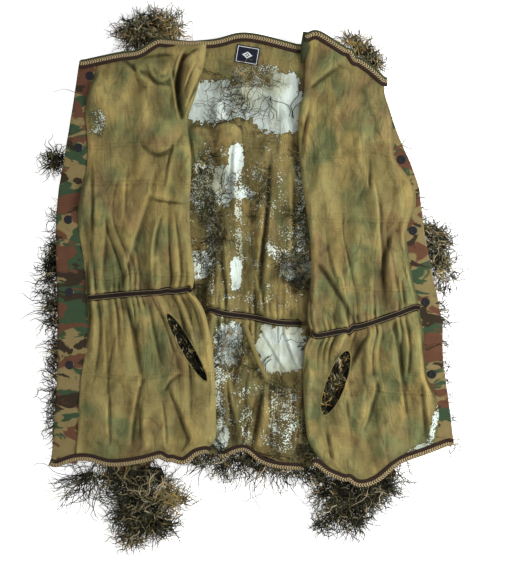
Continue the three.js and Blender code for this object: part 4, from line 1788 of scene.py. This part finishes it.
@dataclass
class Sleeve:
    """One flattened sleeve with its cuff, fringe, elbow tuft and loose threads."""

    side: Side
    nodes: dict
    finishes: Wardrobe
    around: int = 64
    lengths: int = 220

    def tube(self, name: str, line: np.ndarray, half: np.ndarray, tall: np.ndarray, ribs: float) -> Piece:
        """Makes a flattened, wrinkled, hollow tube.

        Args:
            name: The piece's name.
            line: Its middle line, in order.
            half: Its half width at each point.
            tall: Its half height at each point.
            ribs: Height of ribs along it.

        Returns:
            The piece.
        """
        segments = len(line) - 1
        way = headings(line)
        mesh = bmesh.new()
        bmesh.ops.create_grid(mesh, x_segments=self.around, y_segments=segments, size=0.5)
        mesh.verts.ensure_lookup_table()
        spots = np.array([vertex.co for vertex in mesh.verts])
        angle = (spots[:, 0] + 0.5) * TURN
        index = np.rint((0.5 - spots[:, 1]) * segments).astype(int)
        wrinkle = 1.2 * Ripple(5, 40)(np.cos(angle) * 30, line[index, 1]) + 0.7 * Ripple(6, 15)(
            np.cos(angle) * 30 + np.sin(angle) * 12, line[index, 1]
        )
        wrinkle = wrinkle * (ribs == 0) + ribs * np.abs(np.sin(angle * 22))
        a = (half[index] + wrinkle) * np.sign(np.cos(angle)) * np.abs(np.cos(angle)) ** 0.8
        b = (tall[index] + wrinkle) * np.sign(np.sin(angle)) * np.abs(np.sin(angle)) ** 0.8
        x = line[index, 0] - way[index, 1] * a
        y = line[index, 1] + way[index, 0] * a
        set_places(mesh, x, y, line[index, 2] + b)
        unwrap(mesh, (spots[:, 0] + 0.5) * 0.2, 0.5 - spots[:, 1])
        bmesh.ops.remove_doubles(mesh, verts=mesh.verts, dist=1e-6)
        bmesh.ops.recalc_face_normals(mesh, faces=mesh.faces)
        piece = finished(name, mesh, (self.finishes.elastic if ribs else self.finishes.camouflage,))
        thicken(piece, 1.2)
        return piece

    def build(self) -> None:
        """Builds and dresses the sleeve."""
        word = self.side.word
        slices = Slices(self.nodes[f"{word}_sleeve"], 1, self.lengths)
        line = np.stack([(slices.low + slices.high) / 2, slices.at, np.full_like(slices.at, 17)], 1)[::-1]
        half = (slices.high - slices.low)[::-1] / 2
        line[:, 0] = smoothed(line[:, 0], 25)
        half = smoothed(half, 25) * 0.94
        body = f"{word}_sleeve"
        sleeve = self.tube(f"{word}_sleeve_cloth", line, half, np.full_like(half, 10.2), 0)
        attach(sleeve, body)
        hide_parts(f"{word}_sleeve")
        centre = middle_of(f"{word}_cuff_elastic")
        way = line[-1, :2] - line[-30, :2]
        way /= math.hypot(*way)
        steps = np.linspace(-13, 13, 14)
        cuff_line = np.column_stack([centre[0] + way[0] * steps, centre[1] + way[1] * steps, steps * 0 + 17])
        squeezed = 46 + 3 * np.cos(steps / 13 * math.pi)
        cuff = self.tube(f"{word}_cuff_band", cuff_line, squeezed, steps * 0 + 8.4, 0.9)
        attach(cuff, body)
        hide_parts(f"{word}_cuff_elastic")
        bunches = self.bunches(line, centre, math.atan2(way[1], way[0]))
        for piece in (sleeve, cuff, *bunches):
            LOG.info("made %s", piece.name)

    def bunches(self, line: np.ndarray, cuff: np.ndarray, heading: float) -> list[Piece]:
        """Makes the loose threads of the sleeve.

        Args:
            line: The sleeve's middle line.
            cuff: The cuff's middle; not used.
            heading: The way that the sleeve points at its cuff; not used.

        Returns:
            The pieces.
        """
        word, sign = self.side.word, self.side.value
        body = f"{word}_sleeve"
        order = np.argsort(line[:, 1])
        middle = line[order]
        made = []
        dark, gold, pale = (0.93, 0.045, 0.005, 0.02), (0.55, 0.22, 0.2, 0.03), (0.78, 0.15, 0.02, 0.05)
        cx, cy = middle_of(f"{word}_cuff_fringe")[:2]
        if self.side is Side.RIGHT:
            crown = heap(
                (cx - 22, cy + 46, 54, 16),
                (cx - 8, cy - 6, 44, 34, -0.6),
                (cx + 16, cy - 36, 24, 14),
            )
            patch = heap((cx + 46, cy + 14, 20, 8, -0.15), away=(cx, cy + 20))
            tail = heap((cx - 36, cy - 52, 20, 6, -0.65), away=(cx - 70, cy - 20))
            stray = heap((cx - 96, cy + 54, 12, 6), away=(cx - 30, cy + 96))
            jobs = [
                ("cuff_threads", crown, 1550, (18, 58), (1.5, 36), dark),
                ("cuff_pale", heap((cx + 2, cy + 24, 30, 14)), 36, (30, 60), (34, 40), (0.1, 0.4, 0.1, 0.4)),
                ("cuff_gold", patch, 200, (16, 46), (30, 42), gold),
                ("cuff_tail", tail, 110, (16, 38), (4, 20), gold),
                ("cuff_wisps", stray, 70, (50, 105), (1.5, 12), dark),
            ]
        else:
            crown = heap(
                (cx + 14, cy + 34, 34, 22),
                (cx - 24, cy + 8, 30, 20),
                (cx - 20, cy - 22, 24, 12),
                (cx - 54, cy + 30, 20, 12),
            )
            jobs = [
                ("cuff_threads", crown, 1450, (18, 52), (1.5, 25), dark),
                ("cuff_tail", heap((cx - 66, cy - 26, 9, 12)), 110, (12, 34), (2, 16), dark),
            ]
        centre = middle_of(f"{word}_elbow_tuft")
        ex, ey = centre[0] - sign * 14, centre[1]
        if self.side is Side.RIGHT:
            jobs += [
                ("elbow_threads", heap((ex + 4, ey + 58, 12, 74)), 520, (14, 42), (1.5, 36), dark),
                ("elbow_wisps", heap((ex + 8, ey - 120, 6, 110)), 240, (16, 50), (1.5, 14), dark),
                ("upper_arm_threads", heap((ex + 4, ey + 262, 11, 9)), 190, (14, 40), (1.5, 26), dark),
            ]
        else:
            tuft = heap((ex, ey + 8, 15, 34), (ex - 22, ey + 50, 7, 14))
            wisps = heap((ex - 2, ey - 80, 8, 40), (ex + 20, ey - 30, 10, 20))
            jobs += [
                ("elbow_threads", tuft, 480, (16, 46), (1.5, 36), pale),
                ("elbow_wisps", wisps, 120, (14, 50), (1.5, 14), dark),
            ]
        made_under = Threads(
            f"{word}_sleeve_threads",
            along(lambda y: np.interp(y, middle[:, 1], middle[:, 0]), -330, 312, 46, -1.57),
            count=420,
            length=(50, 110),
            heights=(1, 5),
            seed=80 + sign,
        ).build(self.finishes.threads)
        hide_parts(f"{word}_sleeve_thread_mat")
        made.append(made_under)
        replaced = {"cuff_threads": f"{word}_cuff_fringe", "elbow_threads": f"{word}_elbow_tuft"}
        if self.side is Side.LEFT:
            sx, sy = middle_of("left_shoulder_tuft")[:2]
            jobs += [
                ("shoulder_threads", heap((sx - 9, sy - 2, 28, 7, -0.75)), 360, (14, 36), (2, 20), pale),
                ("shoulder_gold", heap((sx - 34, sy + 16, 16, 6, -0.6)), 100, (12, 30), (8, 20), gold),
            ]
            replaced["shoulder_threads"] = "left_shoulder_tuft"
        for number, (kind, roots, count, length, heights, dyes) in enumerate(jobs):
            bunch = Threads(
                f"{word}_{kind}",
                roots,
                count=count,
                length=length,
                heights=heights,
                dyes=dyes,
                spread=0.5 if "wisps" in kind else 2.2,
                curl=0.2,
                seed=100 + number + sign,
            ).build(self.finishes.threads)
            if kind in replaced:
                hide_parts(replaced[kind])
            made.append(bunch)
        for piece in made:
            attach(piece, body)
        return made


@dataclass
class Collar:
    """The heap of threads above the wearer's right shoulder."""

    finishes: Wardrobe

    def build(self) -> None:
        """Builds the heap."""
        cx, cy = middle_of("right_shoulder_tuft")[:2]
        dark = heap((cx - 20, cy + 4, 27, 21), (cx - 38, cy - 8, 11, 11))
        jobs = (
            ("collar_dark", dark, 700, (0.84, 0.12, 0.02, 0.02)),
            ("collar_gold", heap((cx + 22, cy + 4, 19, 21)), 360, (0.56, 0.26, 0.14, 0.04)),
        )
        for number, (name, roots, count, dyes) in enumerate(jobs):
            bunch = Threads(
                f"{name}_threads",
                roots,
                count=count,
                length=(14, 48),
                heights=(1.5, 38),
                dyes=dyes,
                spread=2.0,
                curl=0.2,
                seed=140 + number,
            )
            piece = bunch.build(self.finishes.threads)
            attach(piece, "back")
            if number == 0:
                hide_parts("right_shoulder_tuft")
            LOG.info("made %s", piece.name)


@dataclass
class Studio:
    """The floor, the lights and the camera above the jacket."""

    centre: tuple = (0.030, -0.008)
    distance: float = 2.6
    lens: float = 65.0

    def build(self) -> None:
        """Sets the studio up."""
        mesh = bmesh.new()
        bmesh.ops.create_grid(mesh, x_segments=1, y_segments=1, size=4)
        bmesh.ops.translate(mesh, verts=mesh.verts, vec=(0, 0, -0.0006))
        paper = Plain("floor_paper", srgb(252, 252, 252), 0.95, spread=0.01).make()
        floor = finished("floor", mesh, (paper,))
        glow = floor.data.materials[0].node_tree.nodes["Principled BSDF"]
        glow.inputs["Emission Color"].default_value = (1, 1, 1, 1)
        glow.inputs["Emission Strength"].default_value = 0.65
        world = bpy.data.worlds.new("studio")
        world.use_nodes = True
        world.node_tree.nodes["Background"].inputs["Color"].default_value = (1, 1, 1, 1)
        world.node_tree.nodes["Background"].inputs["Strength"].default_value = 0.5
        bpy.context.scene.world = world
        self.lamp("key", (1.45, 0.15, 1.15), 36, 0.7)
        self.lamp("fill", (-1.2, -0.7, 1.8), 6, 1.4)
        camera = bpy.data.cameras.new("camera")
        camera.sensor_fit = "VERTICAL"
        camera.sensor_height = 24
        camera.lens = self.lens
        camera.clip_start = 0.05
        eye = bpy.data.objects.new("camera", camera)
        eye.location = (*self.centre, self.distance + 0.035)
        bpy.context.scene.collection.objects.link(eye)
        bpy.context.scene.camera = eye
        bpy.context.scene.view_settings.view_transform = "Standard"
        LOG.info("set up the studio")

    @staticmethod
    def lamp(name: str, place: tuple, power: float, size: float) -> None:
        """Adds a soft light that points at the jacket.

        Args:
            name: The light's name.
            place: Where it hangs, in metres.
            power: In watts.
            size: Its side in metres.
        """
        light = bpy.data.lights.new(name, "AREA")
        light.energy = power
        light.size = size
        lamp = bpy.data.objects.new(name, light)
        lamp.location = place
        lamp.rotation_euler = (-Vector(place)).to_track_quat("-Z", "Y").to_euler()
        bpy.context.scene.collection.objects.link(lamp)


def swells(*rows: Sequence) -> tuple:
    """Folds and bulges from rows of plain numbers.

    Args:
        rows: A fold's eight numbers are its three points, height and width. A bulge's five or six are its
            middle, half sizes, height and, where it isn't the usual one, the steepness of its edge.

    Returns:
        The folds and bulges, in the order of the rows.
    """
    made = []
    for row in rows:
        if not isinstance(row, tuple):
            made.append(row)
        elif len(row) == 8:
            made.append(Fold((row[0:2], row[2:4], row[4:6]), *row[6:]))
        else:
            made.append(Dome(row[0:2], row[2:4], *row[4:]))
    return tuple(made)


RIGHT_FOLDS = swells(
    (-160, 196, -176, 110, -222, -14, 6, -22),
    (-150, 112, -170, 50, -163, -16, 6, -18),
    (-238, 150, -246, 70, -250, -14, 4, -14),
    (-128, 110, -118, 50, -116, -8, 4, -12),
    (-178, 236, -148, 188, -114, 252, 6, 18),
    (-222, 372, -184, 330, -126, 318, 6, -18),
    (-190, 366, -188, 334, -164, 326, 5, 9),
    (-170, 364, -154, 312, -130, 346, 6, 9),
    (-160, 362, -150, 334, -136, 352, 4, 7),
    (-186, 374, -150, 388, -118, 380, 4, 9),
    (-106, 384, -132, 330, -112, 268, -17, 8),
    (-126, 352, -126, 332, -122, 312, -8, 6),
    (-80, 352, -98, 312, -110, 284, 6, -9),
    (-90, 366, -108, 330, -112, 306, 5, -7),
    (-78, 384, -96, 380, -112, 360, 4, 8),
    (-84, 316, -98, 290, -108, 270, 4, -7),
    (-172, 142, -140, 132, -104, 131, 4, 10),
    (-208, -50, -196, -120, -183, -186, 7, -18),
    (-181, -160, -198, -216, -202, -290, 6, -16),
    (-258, -50, -270, -110, -282, -160, 4, 12),
    (-246, -60, -244, -110, -242, -160, 4, -10),
    (-238, -196, -240, -240, -238, -286, 4, -12),
    (-224, -44, -222, -90, -224, -140, 4, -9),
    (-172, -44, -162, -100, -152, -150, 5, -12),
    (-150, -40, -132, -80, -112, -150, 4, 10),
    (-124, -36, -100, -80, -84, -130, 4, 9),
    (-114, -160, -134, -164, -146, -192, 5, -8),
    (-130, -180, -110, -236, -82, -300, 5, 14),
    (-177, -210, -178, -250, -174, -290, 4, 10),
    (-150, -206, -140, -256, -142, -300, 4, -12),
    (-262, 210, -252, 120, -262, 20, 4, 12),
    (-206, 200, -214, 150, -210, 90, 3, -14),
    (-118, 246, -132, 190, -138, 150, 4, 10),
    (-215, 288, 52, 60, 6),
    (-240, 120, 30, 80, 5),
    (-142, 248, 24, 30, 6),
    (-150, 60, 18, 62, 4),
    (-206, 60, 18, 60, 3),
    (-214, -140, 22, 80, 4),
    (-150, -256, 36, 46, 5),
    (-246, -250, 26, 56, 4),
    (-162, 350, 24, 20, 6),
    (-96, 336, 13, 46, 5),
)
LEFT_FOLDS = swells(
    (158, 366, 124, 346, 102, 324, 6, -14),
    (104, 400, 92, 378, 90, 350, -9, 9),
    (112, 300, 98, 240, 96, 200, 5, 12),
    (208, 166, 222, 120, 219, 70, 6, -16),
    (201, 192, 199, 170, 203, 148, 4, -8),
    (118, 34, 150, 0, 180, -68, 7, 20),
    (140, 60, 146, 0, 182, -64, 4, 16),
    (218, 94, 226, 40, 224, 12, 6, -14),
    (249, 78, 230, 20, 238, -52, 7, 16),
    (256, 0, 258, -24, 261, -48, 4, -8),
    (238, -74, 252, -130, 264, -240, 8, -18),
    (262, -74, 276, -116, 262, -178, 5, -12),
    (216, -164, 212, -210, 192, -256, 6, -16),
    (204, -100, 192, -130, 168, -170, 5, 14),
    (170, -204, 174, -220, 174, -240, 4, 8),
    (296, -120, 300, -200, 310, -280, 4, 14),
    (136, -250, 146, -290, 150, -330, 4, 12),
    (176, 262, 66, 58, 6),
    (220, 320, 16, 14, 3),
    (126, 130, 24, 60, 4),
    (250, 140, 30, 48, 5),
    (184, 60, 26, 60, 5),
    (126, -34, 24, 34, 5),
    (204, -140, 24, 56, 4),
    (292, -150, 22, 70, 6),
    (232, -270, 34, 50, 5),
    (128, -276, 22, 40, 4),
)
BACK_FOLDS = swells(
    (-84, 215, 24, 44, 5, 4),
    (-32, 222, 23, 42, 5, 4),
    (41, 180, 43, 62, 5, 4),
    (42, 66, 36, 52, 4, 4),
    (-28, 60, 20, 80, 5, 4),
    (-90, 50, 17, 60, 4, 4),
    (46, -38, 32, 34, 5, 4),
    (94, -44, 15, 30, 5, 4),
    (-46, -40, 30, 30, 4, 4),
    (65, -236, 32, 62, 6, 4),
    (2, -228, 30, 70, 6, 4),
    (-46, -200, 20, 62, 5, 4),
    (-110, 250, -86, 258, -62, 250, 3, -7),
    (-58, 252, -34, 272, -10, 246, 3, -7),
    (-4, 236, 40, 252, 84, 238, 3, -7),
    (43, 214, 40, 60, 16, -66, 6, 12),
    (28, 150, 26, 100, 12, 0, 6, -12),
    (70, 190, 76, 100, 66, 10, 5, -14),
    (-22, 236, -26, 180, -22, 110, 4, 10),
    (-40, 60, -36, 0, -30, -60, 6, 12),
    (6, 20, 20, -20, 22, -64, 5, -12),
    (30, -178, 28, -240, 6, -310, 7, 12),
    (16, -190, -6, -240, -20, -300, 5, -10),
    (-34, -150, -30, -210, -12, -270, 5, 10),
    (70, -186, 76, -240, 66, -300, 4, -10),
    (50, -180, 48, -220, 54, -270, 3, 8),
    (20, 400, 60, 384, 92, 386, 4, 8),
    (10, 384, 50, 374, 84, 372, 3, 8),
    (-66, 396, -60, 380, -40, 368, 4, 8),
    (60, -84, 70, -120, 92, -166, 3, 6),
    (22, -84, 40, -120, 66, -160, 3, 6),
)
BACK_WINDOWS = (
    Window((0, 90), (130, 170), clear=0.2),
    Window((10, -225), (110, 90), clear=0.2),
    Window((-62, 300), (45, 40)),
    Window((-14, 300), (48, 30)),
    Window((52, 288), (48, 42)),
    Window((-20, 202), (14, 24), clear=0.85),
    Window((-42, 158), (18, 34), clear=0.95),
    Window((-30, 146), (44, 13), clear=0.62),
    Window((-82, 158), (21, 40), clear=0.5),
    Window((-16, 90), (7, 120), clear=0.46),
    Window((-84, 22), (22, 26), clear=0.72),
    Window((-62, 90), (8, 120), clear=0.44),
    Window((-20, 8), (10, 30), clear=0.9),
    Window((84, 16), (28, 28), -0.5, clear=0.74),
    Window((50, 40), (26, 16), -0.5, clear=0.5),
    Window((90, 110), (8, 130), clear=0.48),
    Window((56, -122), (44, 42)),
    Window((-32, -112), (26, 40), clear=0.76),
    Window((-50, -190), (12, 90), clear=0.52),
    Window((-46, -272), (15, 22), clear=0.85),
    Window((60, -240), (26, 60), clear=0.4),
    Window((-4, -230), (12, 50), clear=0.36),
    Window((12, 342), (44, 24), clear=0.46),
    Window((62, 326), (28, 24), clear=0.9),
)
RIGHT_OVERLAP = (
    (360, 8), (345, 12), (330, 17), (312, 21), (278, 20), (242, 10), (211, 4), (183, 1), (147, 5), (111, 6),
    (82, 4), (39, -4), (-9, -8), (-44, -9), (-92, -9), (-128, -5),
    (-164, 1), (-211, 3), (-258, 1), (-312, 1),
)
LEFT_OVERLAP = (
    (345, 33), (318, 33), (300, 31), (276, 32), (248, 26), (217, 14), (200, 10), (188, 14), (164, 27),
    (140, 28), (116, 26),
    (98, 16), (88, 9), (70, 9), (15, 9), (-44, 9), (-68, 7), (-104, 10), (-135, 12), (-172, 11),
    (-194, 22), (-230, 24), (-260, 18), (-290, 6),
)


def main() -> None:
    """Builds the jacket, piece by piece, and the studio round it."""
    logging.basicConfig(level=logging.INFO, format="%(message)s")
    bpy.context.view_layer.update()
    nodes = frame["nodes"]
    Studio().build()
    finishes = Wardrobe()
    Front(
        side=Side.RIGHT,
        nodes=nodes,
        finishes=finishes,
        folds=RIGHT_FOLDS,
        windows=(Window((-256, 262), (16, 24), clear=0.34),),
        inner_top=((275, -103), (297, -92), (340, -80), (372, -72), (405, -70)),
        overlap=RIGHT_OVERLAP,
        slit=((-103, -118), (66, 10.5), math.atan2(-119, 69)),
        tucks=(222, 157, 2, -167),
        blend_x=(-155, -123),
    ).build()
    Front(
        side=Side.LEFT,
        nodes=nodes,
        finishes=finishes,
        folds=LEFT_FOLDS,
        windows=(
            Window((314, -252), (6, 44), -0.25, clear=0.62),
            Window((288, -291), (30, 7), 0.42, clear=0.62),
        ),
        inner_top=(),
        overlap=LEFT_OVERLAP,
        slit=((149, -178), (58, 16), math.atan2(-107, -40)),
        tucks=(205, 98, -20, -197),
        blend_x=(191, 159),
        curled=((-400, 0), (60, 0), (110, 6), (160, 8), (200, 12), (246, 15), (300, 14), (345, 8), (400, 6)),
    ).build()
    Back(nodes, finishes, BACK_FOLDS, BACK_WINDOWS).build()
    for side in Side:
        Sleeve(side, nodes, finishes).build()
    Collar(finishes).build()


if __name__ == "__main__":
    main()
